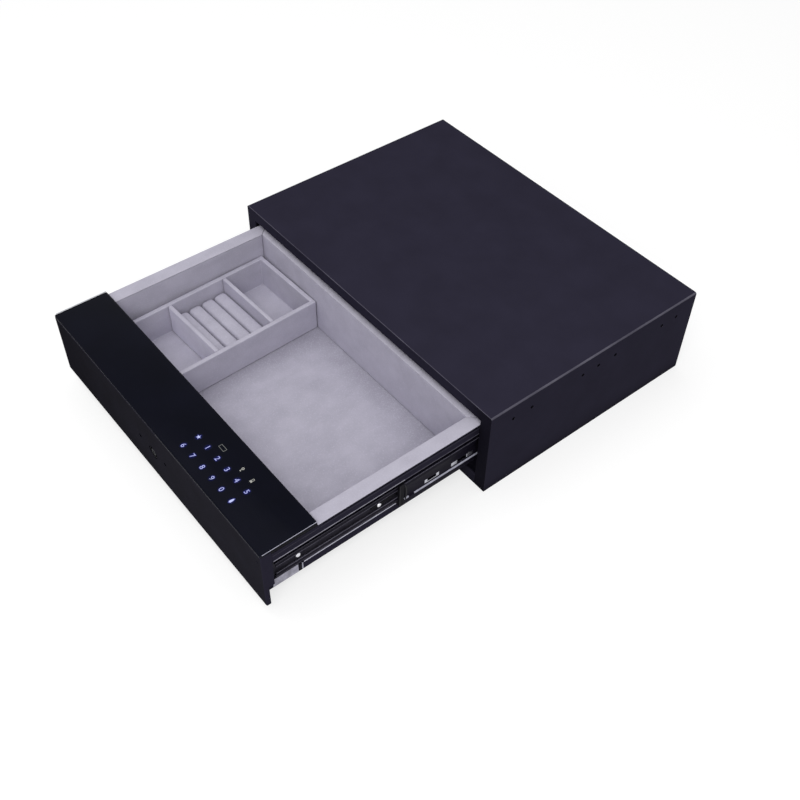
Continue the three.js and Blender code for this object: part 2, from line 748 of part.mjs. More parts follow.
function boltBar() {
  const slotX = camAxisX + camPinReach;
  const slotHeight = camAxisHeight + camPinRise;
  const tabHalf = camDiameter / 2;
  const top = slotHeight + camPinDiameter;
  const bar = box(-boltBarWidth / 2, boltBarWidth / 2, boltBarFront, boltBarBack, boltBarBottom,
    boltBarBottom + boltBarHeight);
  const tab = box(slotX - tabHalf, slotX + tabHalf, boltBarFront, boltBarBack, boltBarBottom, top);
  const slotHalf = camPinDiameter + camPinPlay;
  const slot = box(slotX - slotHalf, slotX + slotHalf, boltBarFront - cutOverrun,
    boltBarBack + cutOverrun, slotHeight - camPinDiameter / 2 - camPinPlay,
    slotHeight + camPinDiameter / 2 + camPinPlay);
  const bolts = boltXs().map((x) => rod('z', [x, boltPlace], boltDiameter, floorUnderside + fitGap,
    boltBarBottom + boltBarHeight / 2, roundSteps));
  return join([cut(join([bar, tab]), [slot]), ...bolts]);
}

function boltBush(x) {
  const low = floorTop + fitGap;
  const flange = rod('z', [x, boltPlace], bushFlangeDiameter, low, low + bushFlangeThickness, roundSteps);
  const spigot = rod('z', [x, boltPlace], bushSpigotDiameter, floorUnderside, low + fitGap, roundSteps);
  const bore = rod('z', [x, boltPlace], boltDiameter + 2 * fitGap, floorUnderside - cutOverrun,
    low + bushFlangeThickness + cutOverrun, roundSteps);
  return cut(join([flange, spigot]), [bore]);
}

// Drawn about its own axis, with the pin at the top of its turn
function lockCam() {
  const discFront = camPinDiameter / 2 + boltBarThickness / 2 + fitGap;
  const disc = rod('y', [0, 0], camDiameter, discFront, discFront + camThickness, roundSteps);
  const pin = rod('y', [camPinReach, camPinRise], camPinDiameter, -boltBarThickness / 2 - fitGap,
    discFront + camThickness / 2);
  return join([disc, pin]);
}

function lockMotor() {
  const camBack = boltPlace + camPinDiameter / 2 + boltBarThickness / 2 + fitGap + camThickness;
  const front = camBack + fitGap;
  const half = gearboxWidth / 2;
  const gearbox = box(camAxisX - half, camAxisX + half, front, front + gearboxDepth,
    camAxisHeight - half, camAxisHeight + half);
  const motor = rod('y', [camAxisX, camAxisHeight], motorDiameter, front + gearboxDepth / 2,
    bulkheadPlace - fitGap, roundSteps);
  return join([gearbox, motor]);
}

function panelFrame() {
  const half = frontHalf - fitGap;
  const slab = box(-half, half, rimFront, glassDepth - fitGap, panelFrameBottom, fasciaTop);
  const pocket = box(touchBoardLeft, touchBoardRight, rimFront + touchBoardMargin,
    glassDepth - touchBoardMargin, fasciaTop - boardThickness - 2 * fitGap, fasciaTop + cutOverrun);
  return cut(slab, [pocket]);
}

function touchPanel() {
  return box(-frontHalf, frontHalf, 0, glassDepth, glassBottom, frontTop);
}

function touchBoard() {
  const low = fasciaTop - boardThickness - fitGap;
  return box(touchBoardLeft + fitGap, touchBoardRight - fitGap, rimFront + touchBoardMargin + fitGap,
    glassDepth - touchBoardMargin - fitGap, low, low + boardThickness);
}

function controlBoard() {
  const back = bulkheadPlace - fitGap;
  const board = back - standoffLength;
  const halfX = controlBoardWidth / 2;
  const halfZ = controlBoardHeight / 2;
  const front = board - boardThickness;
  const corner = standoffDiameter;
  const pieces = [box(controlBoardX - halfX, controlBoardX + halfX, front, board,
    compartmentMiddle - halfZ, compartmentMiddle + halfZ)];
  for (const x of [-halfX + corner, halfX - corner]) {
    for (const z of [-halfZ + corner, halfZ - corner]) {
      pieces.push(rod('y', [controlBoardX + x, compartmentMiddle + z], standoffDiameter, front, back));
    }
  }
  pieces.push(box(controlBoardX - chipWidth / 2, controlBoardX + chipWidth / 2, front - chipHeight,
    board, compartmentMiddle - chipWidth / 2, compartmentMiddle + chipWidth / 2));
  pieces.push(box(controlBoardX + halfX / 2, controlBoardX + halfX / 2 + relayWidth,
    front - relayHeight, board, compartmentMiddle - relayWidth / 2, compartmentMiddle + relayWidth / 2));
  return join(pieces);
}

function batteryHolder() {
  const back = bulkheadPlace - fitGap;
  const floorBack = back - cellDiameter - 2 * fitGap;
  const outer = windowBox(holderWall, floorBack - holderWall, back);
  return cut(outer, [windowBox(0, floorBack, back + cutOverrun)]);
}

// Each row of cells points the other way than the row under it
function batteryCell(row, column) {
  const rise = (row - (cellRows - 1) / 2) * (cellDiameter + fitGap);
  const shift = (column - (cellColumns - 1) / 2) * (cellLength + cellNubLength + fitGap);
  const place = [bulkheadPlace - 2 * fitGap - cellDiameter / 2, compartmentMiddle + rise];
  const turn = row % 2 === 0 ? 1 : -1;
  const middle = batteryX + shift - turn * cellNubLength / 2;
  const half = cellLength / 2;
  return join([
    rod('x', place, cellDiameter, middle - half, middle + half, roundSteps),
    rod('x', place, cellNubDiameter, middle, middle + turn * (half + cellNubLength)),
  ]);
}

function batteryCover() {
  const face = feltFrontPlace;
  const plate = windowBox(coverLap, bulkheadBack + fitGap, face);
  const grip = box(batteryX - coverGripWidth / 2, batteryX + coverGripWidth / 2,
    face - liningThickness / 2, face + coverGripDepth, compartmentMiddle - coverGripHeight / 2,
    compartmentMiddle + coverGripHeight / 2);
  return join([plate, grip]);
}

// Lining pieces

function liningFloor() {
  return box(-liningHalf, liningHalf, bulkheadBack + fitGap, panRearInner - fitGap, floorTop + fitGap,
    feltFloorTop);
}

function liningSide(side) {
  return box(side * feltHalf, side * liningHalf, bulkheadBack + fitGap, feltRearPlace - fitGap,
    feltFloorTop + fitGap, rimTop);
}

function liningRear() {
  return box(-liningHalf, liningHalf, feltRearPlace, panRearInner - fitGap, feltFloorTop + fitGap,
    rimTop);
}

function liningFront() {
  const half = feltHalf - fitGap;
  const sheet = box(-half, half, bulkheadBack + fitGap, feltFrontPlace, feltFloorTop + fitGap,
    rimTop - fitGap);
  return cut(sheet, [windowBox(coverLap + fitGap, bulkheadPlace, feltFrontPlace + cutOverrun)]);
}

function rimLining() {
  const low = rimTop + fitGap;
  return ring(frontHalf, rimRear, feltHalf, feltRearPlace, glassDepth + fitGap, low,
    low + rimFeltThickness);
}

// Tray pieces, about the tray's own middle, with its underside at zero

const trayHeight = trayTop - feltFloorTop - fitGap;
const bayMiddleRear = ringBayLength / 2 + dividerThickness / 2;

function trayBox() {
  const halfX = trayWidth / 2;
  const halfY = trayLength / 2;
  const block = box(-halfX, halfX, -halfY, halfY, 0, trayHeight);
  const cavity = box(-halfX + trayWall, halfX - trayWall, -halfY + trayWall, halfY - trayWall,
    trayBase, trayHeight + cutOverrun);
  return cut(block, [cavity]);
}

function trayDivider(end) {
  const half = trayWidth / 2 - trayWall - fitGap;
  const middle = end * bayMiddleRear;
  return box(-half, half, middle - dividerThickness / 2, middle + dividerThickness / 2,
    trayBase + fitGap, trayHeight);
}

// Soft roll along X with a domed top and rounded ends, flat where it rests.
// A share of 1 is the roll's full section, at its middle.
function ringRoll() {
  const length = trayWidth - 2 * trayWall - 2 * rollEndGap;
  const halfLength = length / 2;
  const halfBreadth = (ringBayLength / rollCount - rollSideGap) / 2;
  const shoulder = rollHeight / 3;
  const positions = [];
  const index = [];
  const power = (value, exponent) => Math.sign(value) * Math.abs(value) ** exponent;
  for (let i = 0; i <= rollStations; i += 1) {
    const along = power(-Math.cos((i / rollStations) * Math.PI), rollSpreadPower);
    const swell = Math.max(1 - Math.abs(along) ** rollEndPower, 0) ** rollCrownPower;
    const breadth = halfBreadth * (rollEndShare + (1 - rollEndShare) * swell);
    const top = rollHeight * (rollEndShare + (1 - rollEndShare) * swell) - shoulder;
    for (let j = 0; j < rollSides; j += 1) {
      const turn = (j / rollSides) * 2 * Math.PI;
      const rise = power(Math.sin(turn), rollCornerPower);
      const z = shoulder + rise * (rise > 0 ? top : shoulder);
      positions.push(along * halfLength, power(Math.cos(turn), rollCornerPower) * breadth, z);
    }
  }
  for (let i = 0; i < rollStations; i += 1) {
    for (let j = 0; j < rollSides; j += 1) {
      const a = i * rollSides + j;
      const b = i * rollSides + (j + 1) % rollSides;
      index.push(a, b, a + rollSides, b, b + rollSides, a + rollSides);
    }
  }
  const last = rollStations * rollSides;
  for (let j = 1; j < rollSides - 1; j += 1) {
    index.push(0, j + 1, j, last, last + j, last + j + 1);
  }
  const geometry = new THREE.BufferGeometry();
  geometry.setAttribute('position', new THREE.Float32BufferAttribute(positions, 3));
  geometry.setIndex(index);
  return solidOf(geometry);
}

// The rolls stand side by side on a thin foam base
function ringPad() {
  const halfX = trayWidth / 2 - trayWall - rollEndGap;
  const halfY = ringBayLength / 2 - fitGap;
  const low = trayBase + fitGap;
  const pitch = ringBayLength / rollCount;
  const base = box(-halfX, halfX, -halfY, halfY, low, low + padBaseThickness);
  const rolls = Array.from({ length: rollCount }, (_, i) => ringRoll()
    .translate([0, (i + 0.5 - rollCount / 2) * pitch, low]));
  return join([base, ...rolls]);
}

// Assembly

const safe = new THREE.Group();
const housing = new THREE.Group();
const drawer = new THREE.Group();
const tray = new THREE.Group();
const frontY = -housingDepth / 2;
housing.position.y = frontY;
drawer.position.y = frontY - drawerPulledOut;
tray.position.set(trayCentreX, trayCentrePlace, feltFloorTop + fitGap);
tray.rotation.z = THREE.MathUtils.degToRad(trayTurnDegrees);
safe.add(housing, drawer);
drawer.add(tray);

housing.add(meshOf('housing_shell', housingShell(), blackPaint));
housing.add(meshOf('housing_base', housingBase(), blackPaint));
housing.add(meshOf('housing_back', housingBack(), blackPaint));
housing.add(meshOf('strike_plate', strikePlate(), zincSteel));

drawer.add(meshOf('drawer_pan', drawerPan(), blackPaint));
drawer.add(meshOf('drawer_floor', drawerFloor(), blackPaint));
drawer.add(meshOf('bulkhead', bulkhead(), blackPaint));
drawer.add(meshOf('fascia', fascia(), blackPaint));
drawer.add(meshOf('panel_frame', panelFrame(), blackPlastic));
drawer.add(meshOf('touch_panel', touchPanel(), blackGlass));
drawer.add(meshOf('touch_board', touchBoard(), circuitGreen));
drawer.add(meshOf('control_board', controlBoard(), circuitGreen));
drawer.add(meshOf('battery_holder', batteryHolder(), blackPlastic));
drawer.add(meshOf('battery_cover', batteryCover(), blackPlastic));
drawer.add(meshOf('lock_motor', lockMotor(), zincSteel));
drawer.add(meshOf('bolt_bar', boltBar(), zincSteel));
drawer.add(meshOf('key_cylinder', keyCylinder(), blackSteel));
drawer.add(meshOf('lining_floor', liningFloor(), felt));
drawer.add(meshOf('lining_rear', liningRear(), felt));
drawer.add(meshOf('lining_front', liningFront(), felt));
drawer.add(meshOf('rim_lining', rimLining(), felt));

const keyNut = hexNut([keyX, keyHeight], keyNutAcross, keyBarrelDiameter + 2 * fitGap,
  panFront + panSheet + fitGap, keyNutThickness);
drawer.add(meshOf('key_nut', keyNut, zincSteel));

const plugMesh = meshOf('key_plug', keyPlug(), brightSteel);
plugMesh.position.set(keyX, 0, keyHeight);
drawer.add(plugMesh);

const camMesh = meshOf('lock_cam', lockCam(), brightSteel);
camMesh.position.set(camAxisX, boltPlace, camAxisHeight);
drawer.add(camMesh);

for (const side of [-1, 1]) {
  const suffix = side < 0 ? 'left' : 'right';
  const middle = new THREE.Group();
  const outerCage = new THREE.Group();
  const innerCage = new THREE.Group();
  middle.position.y = -middlePulledOut;
  outerCage.position.y = outerCagePlace;
  innerCage.position.y = innerCagePlace;
  housing.add(middle, outerCage, innerCage);
  housing.add(meshOf(`slide_bracket_${suffix}`, slideBracket(side), blackSteel));
  housing.add(meshOf(`cabinet_member_${suffix}`, cabinetMember(side), blackSteel));
  housing.add(meshOf(`rear_buffer_${suffix}`, rearBuffer(side), rubber));
  middle.add(meshOf(`middle_member_${suffix}`, middleMember(side), blackSteel));
  middle.add(meshOf(`middle_bumper_${suffix}`, middleBumper(side), blackPlastic));
  outerCage.add(meshOf(`outer_cage_${suffix}`, ballCage(side, ...outerRow), zincSteel));
  innerCage.add(meshOf(`inner_cage_${suffix}`, ballCage(side, ...innerRow), zincSteel));
  drawer.add(meshOf(`drawer_member_${suffix}`, drawerMember(side), blackSteel));
  drawer.add(meshOf(`slide_screw_front_${suffix}`, slideScrew(side, slideScrewPlaces[0]), brightSteel));
  drawer.add(meshOf(`slide_screw_rear_${suffix}`, slideScrew(side, slideScrewPlaces[1]), brightSteel));
  drawer.add(meshOf(`release_lever_${suffix}`, releaseLever(side), blackPlastic));
  drawer.add(meshOf(`bolt_bush_${suffix}`, boltBush(side * boltSpacing / 2), blackPlastic));
  drawer.add(meshOf(`contact_stud_${suffix}`, contactStud(side), blackSteel));
  drawer.add(meshOf(`lining_${suffix}`, liningSide(side), felt));
}

for (let row = 0; row < cellRows; row += 1) {
  for (let column = 0; column < cellColumns; column += 1) {
    const number = cellColumns * row + column + 1;
    drawer.add(meshOf(`battery_cell_${number}`, batteryCell(row, column), cellWrap));
  }
}

tray.add(meshOf('tray_box', trayBox(), felt));
tray.add(meshOf('tray_divider_front', trayDivider(-1), felt));
tray.add(meshOf('tray_divider_rear', trayDivider(1), felt));
tray.add(meshOf('ring_pad', ringPad(), felt));

export default safe;
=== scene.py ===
"""An under desk drawer safe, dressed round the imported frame.

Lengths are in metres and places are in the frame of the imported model: X to the
safe's right, Y to its back and Z up. MM turns millimetres into metres.
"""

import math

import bmesh
import bpy
from mathutils import Matrix, Vector, noise
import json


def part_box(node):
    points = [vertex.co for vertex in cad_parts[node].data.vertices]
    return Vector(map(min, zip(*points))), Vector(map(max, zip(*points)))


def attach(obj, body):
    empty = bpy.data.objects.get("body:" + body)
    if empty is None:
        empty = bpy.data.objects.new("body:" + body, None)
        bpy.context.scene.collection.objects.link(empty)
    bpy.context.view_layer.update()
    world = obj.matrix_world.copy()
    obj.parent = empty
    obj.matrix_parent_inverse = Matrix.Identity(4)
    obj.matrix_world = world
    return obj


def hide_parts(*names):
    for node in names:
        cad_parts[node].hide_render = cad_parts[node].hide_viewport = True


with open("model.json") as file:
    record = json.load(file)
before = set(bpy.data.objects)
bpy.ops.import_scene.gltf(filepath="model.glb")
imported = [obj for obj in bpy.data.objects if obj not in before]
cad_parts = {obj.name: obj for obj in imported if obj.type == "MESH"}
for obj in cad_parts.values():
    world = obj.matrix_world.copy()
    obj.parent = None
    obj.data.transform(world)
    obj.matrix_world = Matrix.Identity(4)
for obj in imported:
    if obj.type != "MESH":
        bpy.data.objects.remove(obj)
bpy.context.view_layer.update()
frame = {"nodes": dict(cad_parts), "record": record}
MM = 0.001
SIDES = {"left": -1, "right": 1}
SCENE = bpy.context.scene
SCENE.view_settings.view_transform = "Standard"
BODY_OF = {
    node: body
    for body, nodes in frame["record"]["behaviour"]["bodies"].items()
    for node in nodes
}
SLOT_OF = {
    name: item.data.materials[0].name.split(".")[0]
    for name, item in frame["nodes"].items()
}


# Materials


def shade(red, green, blue):
    """A screen colour, 0 to 255, as the linear colour that a shader takes."""
    linear = []
    for value in (red, green, blue):
        part = value / 255
        low = part <= 0.04045
        linear.append(part / 12.92 if low else ((part + 0.055) / 1.055) ** 2.4)
    return (*linear, 1)


# Near black, for painted shade.
PAINTED_SHADE = shade(9, 8, 12)


def add_node(tree, kind, links=None, **settings):
    """A new shader node. links gives a socket another node's socket or a value."""
    made = tree.nodes.new(kind)
    for key, value in settings.items():
        setattr(made, key, value)
    for socket, value in (links or {}).items():
        if isinstance(value, bpy.types.NodeSocket):
            tree.links.new(value, made.inputs[socket])
        else:
            made.inputs[socket].default_value = value
    return made


class Surface:
    """A procedural material in the making."""

    def __init__(self, name, **sockets):
        self.material = bpy.data.materials.new(name)
        self.material.use_nodes = True
        self.tree = self.material.node_tree
        self.shader = self.tree.nodes["Principled BSDF"]
        self.place = self.node("ShaderNodeTexCoord").outputs["Object"]
        self.normal = None
        for socket, value in sockets.items():
            self.shader.inputs[socket.replace("_", " ")].default_value = value

    def node(self, kind, links=None, **settings):
        return add_node(self.tree, kind, links, **settings)

    def noise(self, size, detail=3.0, stretch=(1, 1, 1)):
        """Cloudy noise whose patches are about size across, 0 to 1."""
        scaled = self.node(
            "ShaderNodeMapping", {"Vector": self.place, "Scale": stretch}
        )
        made = self.node(
            "ShaderNodeTexNoise",
            {"Vector": scaled.outputs[0], "Scale": 1 / size, "Detail": detail},
        )
        return made.outputs["Fac"]

    def span(self, value, low, high, start=0.3, stop=0.7):
        """A number that goes from low to high as value goes from start to stop."""
        made = self.node(
            "ShaderNodeMapRange",
            {0: value, 1: start, 2: stop, 3: low, 4: high},
        )
        return made.outputs[0]

    def ramp(self, value, *stops):
        """Colours along value: each stop is a place from 0 to 1 and a colour."""
        made = self.node("ShaderNodeValToRGB", {"Fac": value})
        for element, (place, colour) in zip(made.color_ramp.elements, stops):
            element.position = place
            element.color = colour
        return made.outputs["Color"]

    def clouds(self, size, detail, dark, light):
        """Two colours in slow patches, about size across."""
        return self.ramp(self.noise(size, detail), (0.3, dark), (0.7, light))

    def mix(self, share, first, second):
        """A colour that goes from first to second as share goes from 0 to 1."""
        sockets = {0: share, 6: first, 7: second}
        return self.node("ShaderNodeMix", sockets, data_type="RGBA").outputs[2]

    def edges(self, width, start=0.94, stop=0.8):
        """0 on flat faces, up to 1 along rounded edges."""
        rounded = self.node("ShaderNodeBevel", {"Radius": width}, samples=4)
        true = self.node("ShaderNodeNewGeometry").outputs["Normal"]
        dot = self.node(
            "ShaderNodeVectorMath",
            {0: rounded.outputs[0], 1: true},
            operation="DOT_PRODUCT",
        )
        return self.span(dot.outputs["Value"], 0, 1, start, stop)

    def openness(self, reach):
        """1 in the open, less in inner corners and under what lies close."""
        made = self.node("ShaderNodeAmbientOcclusion", {"Distance": reach}, samples=6)
        return made.outputs["AO"]

    def times(self, first, second):
        made = self.node("ShaderNodeMath", {0: first, 1: second}, operation="MULTIPLY")
        return made.outputs[0]

    def bump(self, height, depth, strength=1.0):
        """Relief of a depth, laid over the relief that is there already."""
        links = {"Height": height, "Distance": depth, "Strength": strength}
        if self.normal:
            links["Normal"] = self.normal
        self.normal = self.node("ShaderNodeBump", links).outputs[0]
        self.link(self.normal, "Normal")

    def link(self, value, socket):
        self.tree.links.new(value, self.shader.inputs[socket])

    def roughness(self, value, low, high):
        self.link(self.span(value, low, high), "Roughness")


def coated(
    name,
    dark,
    light,
    worn,
    rough=0.5,
    specular=0.003,
    wear_and_highlight_width=0.4 * MM,
    peel=0.7 * MM,
    depth=0.012 * MM,
    painted_shade_across=None,
):
    """Powder coat or lacquer on steel: orange peel, faint clouds, edges paler from
    wear and a painted highlight, and painted shade in corners.

    peel is the size and depth the height of the orange peel. painted_shade_across
    gives where a painted shade starts and ends in X, and how dark it is.
    """
    made = Surface(name, Specular_IOR_Level=specular)
    specks = made.noise(0.5 * MM, 2)
    body = made.clouds(38 * MM, 4, dark, light)
    # Painted shade: darker in corners and under what lies close.
    corners = made.span(made.openness(24 * MM), 0.62, 0, 0.35, 0.88)
    body = made.mix(corners, body, PAINTED_SHADE)
    # Painted shade, darker across a span of X.
    if painted_shade_across:
        start, stop, share = painted_shade_across
        across = made.node("ShaderNodeSeparateXYZ", {"Vector": made.place}).outputs["X"]
        body = made.mix(made.span(across, 0, share, start, stop), body, PAINTED_SHADE)
    # Edges paler from wear and from a painted highlight.
    patchy = made.span(made.noise(9 * MM, 4), 0.55, 1)
    rubbed_and_lit = made.times(made.edges(wear_and_highlight_width), patchy)
    made.link(made.mix(rubbed_and_lit, body, worn), "Base Color")
    made.roughness(specks, rough - 0.06, rough + 0.08)
    made.bump(made.noise(peel, 2), depth, 0.8)
    made.bump(specks, depth / 3, 0.6)
    return made.material


def plated(name, dark, light, rough, stretch=(1, 0.1, 1)):
    """Plated steel with fine drawing lines and a slight cloudiness."""
    made = Surface(name, Metallic=1.0, Specular_IOR_Level=0.5)
    lines = made.noise(0.9 * MM, 3, stretch)
    made.link(made.clouds(11 * MM, 4, dark, light), "Base Color")
    made.roughness(lines, rough - 0.07, rough + 0.09)
    made.bump(lines, 0.004 * MM, 0.5)
    return made.material


def felt(name, dark, light, pale, hollow=None):
    """Short felt: brushed clouds and loose fibres, edges paler from wear of the pile
    and a painted highlight, and painted shade in creases.

    hollow is how far a painted shade reaches out from walls that stand on it.
    """
    nap = 0.6 * MM
    painted_shade_colour = (*(part * 0.45 for part in dark[:3]), 1)
    made = Surface(
        name,
        Specular_IOR_Level=0.12,
        Sheen_Weight=0.25,
        Sheen_Roughness=0.55,
        Sheen_Tint=shade(214, 210, 232),
    )
    wide = made.noise(42 * MM, 4)
    brushed = made.noise(15 * MM, 6, (1, 0.55, 1))
    both = made.node("ShaderNodeMath", {0: wide, 1: brushed}, operation="ADD")
    pile = made.noise(nap, 3)
    strands = made.noise(nap * 1.6, 2, (1, 0.35, 1))
    tone = made.span(both.outputs[0], 0, 1, 0.72, 1.28)
    body = made.ramp(tone, (0, dark), (1, light))
    # Painted shade in creases and inner corners.
    open_air = made.openness(4 * MM)
    body = made.mix(made.span(open_air, 0.36, 0, 0.3, 0.78), body, painted_shade_colour)
    # Painted shade near walls that stand on it.
    if hollow:
        body = made.mix(made.span(made.openness(hollow), 0.38, 0, 0.6, 1), body, painted_shade_colour)
    # Edges paler from wear of the pile and from a painted highlight.
    edges = made.edges(1.6 * MM, 0.985, 0.86)
    rubbed_and_lit = made.times(edges, made.span(open_air, 0, 0.8, 0.8, 0.97))
    body = made.mix(rubbed_and_lit, body, pale)
    flecks = made.span(made.noise(nap * 2.7, 4), 0, 0.42, 0.52, 0.72)
    made.link(made.mix(flecks, body, pale), "Base Color")
    made.roughness(pile, 0.86, 0.98)
    made.bump(brushed, 0.3 * MM, 0.2)
    made.bump(strands, 0.1 * MM, 0.4)
    made.bump(pile, 0.08 * MM, 0.5)
    return made.material


def moulded(name, dark, light, rough, specular):
    """Moulded plastic or rubber with a fine spark grain."""
    made = Surface(name, Specular_IOR_Level=specular)
    grain = made.noise(0.45 * MM, 3)
    made.link(made.clouds(9 * MM, 3, dark, light), "Base Color")
    made.roughness(grain, rough - 0.06, rough + 0.08)
    made.bump(grain, 0.014 * MM, 0.7)
    return made.material


def glossy_panel():
    """The touch panel: deep black under a hard gloss, with faint handling haze."""
    made = Surface("gloss_panel", Specular_IOR_Level=0.025)
    body = made.clouds(60 * MM, 3, shade(11, 12, 21), shade(14, 15, 26))
    # The panel's edges paler: a painted highlight.
    made.link(made.mix(made.edges(1.2 * MM), body, shade(52, 53, 58)), "Base Color")
    made.roughness(made.noise(24 * MM, 5, (1, 2.2, 1)), 0.1, 0.24)
    made.bump(made.noise(30 * MM, 1), 0.02 * MM, 0.2)
    return made.material


def circuit_board():
    """Circuit board: lacquered green with paler tracks."""
    made = Surface("circuit_board", Specular_IOR_Level=0.4)
    grid = made.node(
        "ShaderNodeTexBrick",
        {
            "Vector": made.place,
            "Scale": 60.0,
            "Mortar Size": 0.03,
            "Color1": shade(16, 66, 44),
            "Color2": shade(20, 76, 50),
            "Mortar": shade(58, 120, 84),
        },
    )
    made.link(grid.outputs["Color"], "Base Color")
    made.roughness(made.noise(2 * MM), 0.3, 0.42)
    made.bump(grid.outputs["Fac"], 0.03 * MM, 0.4)
    return made.material


def lit(name, colour, glow, strength):
    """A printed symbol with a lamp behind it."""
    made = Surface(name, Base_Color=colour, Emission_Color=glow)
    uneven = made.span(made.noise(1.2 * MM), strength * 0.9, strength * 1.1)
    made.link(uneven, "Emission Strength")
    made.roughness(made.noise(0.6 * MM), 0.4, 0.55)
    return made.material


def key_halo():
    """Panel lacquer over a lamp: deep blue in the middle of the piece, black round it."""
    made = Surface(
        "key_halo", Specular_IOR_Level=0.05, Emission_Color=shade(4, 14, 120)
    )
    # How far a point lies from the middle of the piece's box, seen from above.
    value = made.node("ShaderNodeTexCoord").outputs["Generated"]
    for operation, other in (("SUBTRACT", (0.5, 0.5, 0)), ("MULTIPLY", (1, 1, 0))):
        step = made.node("ShaderNodeVectorMath", {0: value, 1: other}, operation=operation)
        value = step.outputs[0]
    spread = made.node("ShaderNodeVectorMath", {0: value}, operation="LENGTH")
    near = made.span(spread.outputs["Value"], 1, 0, 0.1, 0.48)
    uneven = made.times(near, made.span(made.noise(1.5 * MM, 2), 0.75, 1))
    made.link(made.mix(uneven, shade(9, 10, 19), shade(10, 16, 62)), "Base Color")
    made.link(made.times(uneven, 0.16), "Emission Strength")
    made.roughness(made.noise(24 * MM, 5), 0.1, 0.24)
    return made.material


FELT_DARK = shade(171, 168, 182)
FELT_LIGHT = shade(184, 181, 195)
FELT_PALE = shade(200, 197, 211)
# The usual finish of each of the record's material slots.
MATERIALS = {
    "black_paint": coated(
        "powder_coat", shade(42, 40, 53), shade(45, 43, 57), shade(66, 64, 76)
    ),
    "black_steel": coated(
        "black_slide_steel",
        shade(20, 18, 29),
        shade(27, 24, 36),
        shade(118, 116, 132),
        rough=0.4,
        specular=0.02,
        wear_and_highlight_width=0.8 * MM,
        peel=1.6 * MM,
        depth=0.004 * MM,
    ),
    "zinc_steel": plated(
        "zinc_plate", shade(168, 169, 178), shade(198, 199, 208), 0.34, (1, 0.08, 1)
    ),
    "bright_steel": plated(
        "bright_plate", shade(214, 214, 220), shade(232, 232, 238), 0.24
    ),
    "black_glass": glossy_panel(),
    "black_plastic": moulded(
        "black_plastic", shade(16, 15, 20), shade(23, 22, 28), 0.55, 0.04
    ),
    "buffer_rubber": moulded(
        "soft_rubber", shade(24, 24, 25), shade(31, 31, 32), 0.72, 0.1
    ),
    "grey_felt": felt("grey_felt", FELT_DARK, FELT_LIGHT, FELT_PALE),
    "green_board": circuit_board(),
    "cell_wrap": moulded("cell_wrap", shade(52, 56, 74), shade(62, 66, 86), 0.3, 0.5),
}
# The drawer front's face: painted shade, a coat darker than the top's and darker still
# towards the left.
FRONT_SHADE_COAT = coated(
    "front_coat",
    shade(42, 41, 47),
    shade(46, 45, 53),
    shade(62, 61, 67),
    specular=0.0,
    painted_shade_across=(60 * MM, -222 * MM, 0.4),
)
# The housing's front lips: painted shade, darker at the right end.
LIP_SHADE_COAT = coated(
    "lip_coat",
    shade(40, 38, 51),
    shade(43, 41, 55),
    shade(58, 56, 68),
    painted_shade_across=(190 * MM, 221 * MM, 0.62),
)
# A painted highlight on the housing's rounded top front edge.
HIGHLIGHT_COAT = coated(
    "highlight_coat",
    shade(72, 70, 82),
    shade(98, 96, 108),
    shade(112, 110, 122),
    rough=0.45,
    specular=0.02,
    wear_and_highlight_width=0.5 * MM,
    depth=0.01 * MM,
)
# The keypad's lamps and symbols.
KEY_GLOW = lit("key_glow", shade(4, 6, 46), shade(11, 17, 112), 1.0)
LIT_KEYS = lit("lit_keys", shade(70, 74, 104), shade(196, 203, 246), 0.88)
MARK_GREY = lit("mark_grey", shade(70, 71, 70), shade(104, 106, 102), 0.34)
MARK_WHITE = lit("mark_white", shade(96, 96, 92), shade(200, 200, 192), 0.42)
KEY_HALO = key_halo()
# Painted highlights along edges and lines, painted shade and painted light, and small
# parts.
PAINTED_HIGHLIGHT = moulded("painted_highlight", shade(150, 150, 166), shade(182, 182, 198), 0.35, 0.4)
FLANGE_HIGHLIGHT = plated("flange_highlight", shade(176, 175, 190), shade(204, 203, 216), 0.45)
HEM_HIGHLIGHT = plated("hem_highlight", shade(114, 112, 124), shade(150, 148, 160), 0.42)
HEM_SHADED_HIGHLIGHT = moulded("hem_shaded_highlight", shade(78, 76, 88), shade(94, 92, 106), 0.5, 0.05)
BEAD_HIGHLIGHT = moulded("bead_highlight", shade(54, 52, 63), shade(70, 68, 80), 0.5, 0.03)
RACE_HIGHLIGHT = moulded("race_highlight", shade(84, 82, 94), shade(104, 102, 116), 0.45, 0.05)
COLLAR_GREY = moulded("collar_grey", shade(38, 38, 42), shade(52, 52, 56), 0.5, 0.05)
PANEL_LINE_HIGHLIGHT = moulded("line_grey", shade(52, 51, 57), shade(72, 71, 78), 0.5, 0.03)
# Black for painted shade in holes, recesses, slots and under the rim.
PAINTED_SHADE_BLACK = moulded("painted_shade_black", shade(3, 3, 5), shade(6, 6, 8), 0.75, 0.0)
WEB_PAINTED_LIGHT = moulded("slide_web_painted_light", shade(52, 50, 60), shade(64, 62, 72), 0.5, 0.03)
PLATE_GREY = moulded("plate_grey", shade(150, 148, 162), shade(206, 204, 222), 0.5, 0.2)
# Felts that are darker or paler than the rest: a dark seam, painted light on a face, and
# painted shade near the floor's walls.
SEAM_FELT = felt(
    "seam_felt", shade(112, 109, 124), shade(124, 121, 136), shade(138, 135, 150)
)
PAINTED_LIGHT_FELT = felt(
    "pale_felt", shade(206, 203, 217), shade(218, 215, 229), shade(226, 223, 237)
)
# The lining's floor, with painted shade out from its walls.
FLOOR_FELT = felt(
    "floor_felt", shade(167, 164, 178), shade(180, 177, 191), FELT_PALE, 42 * MM
)
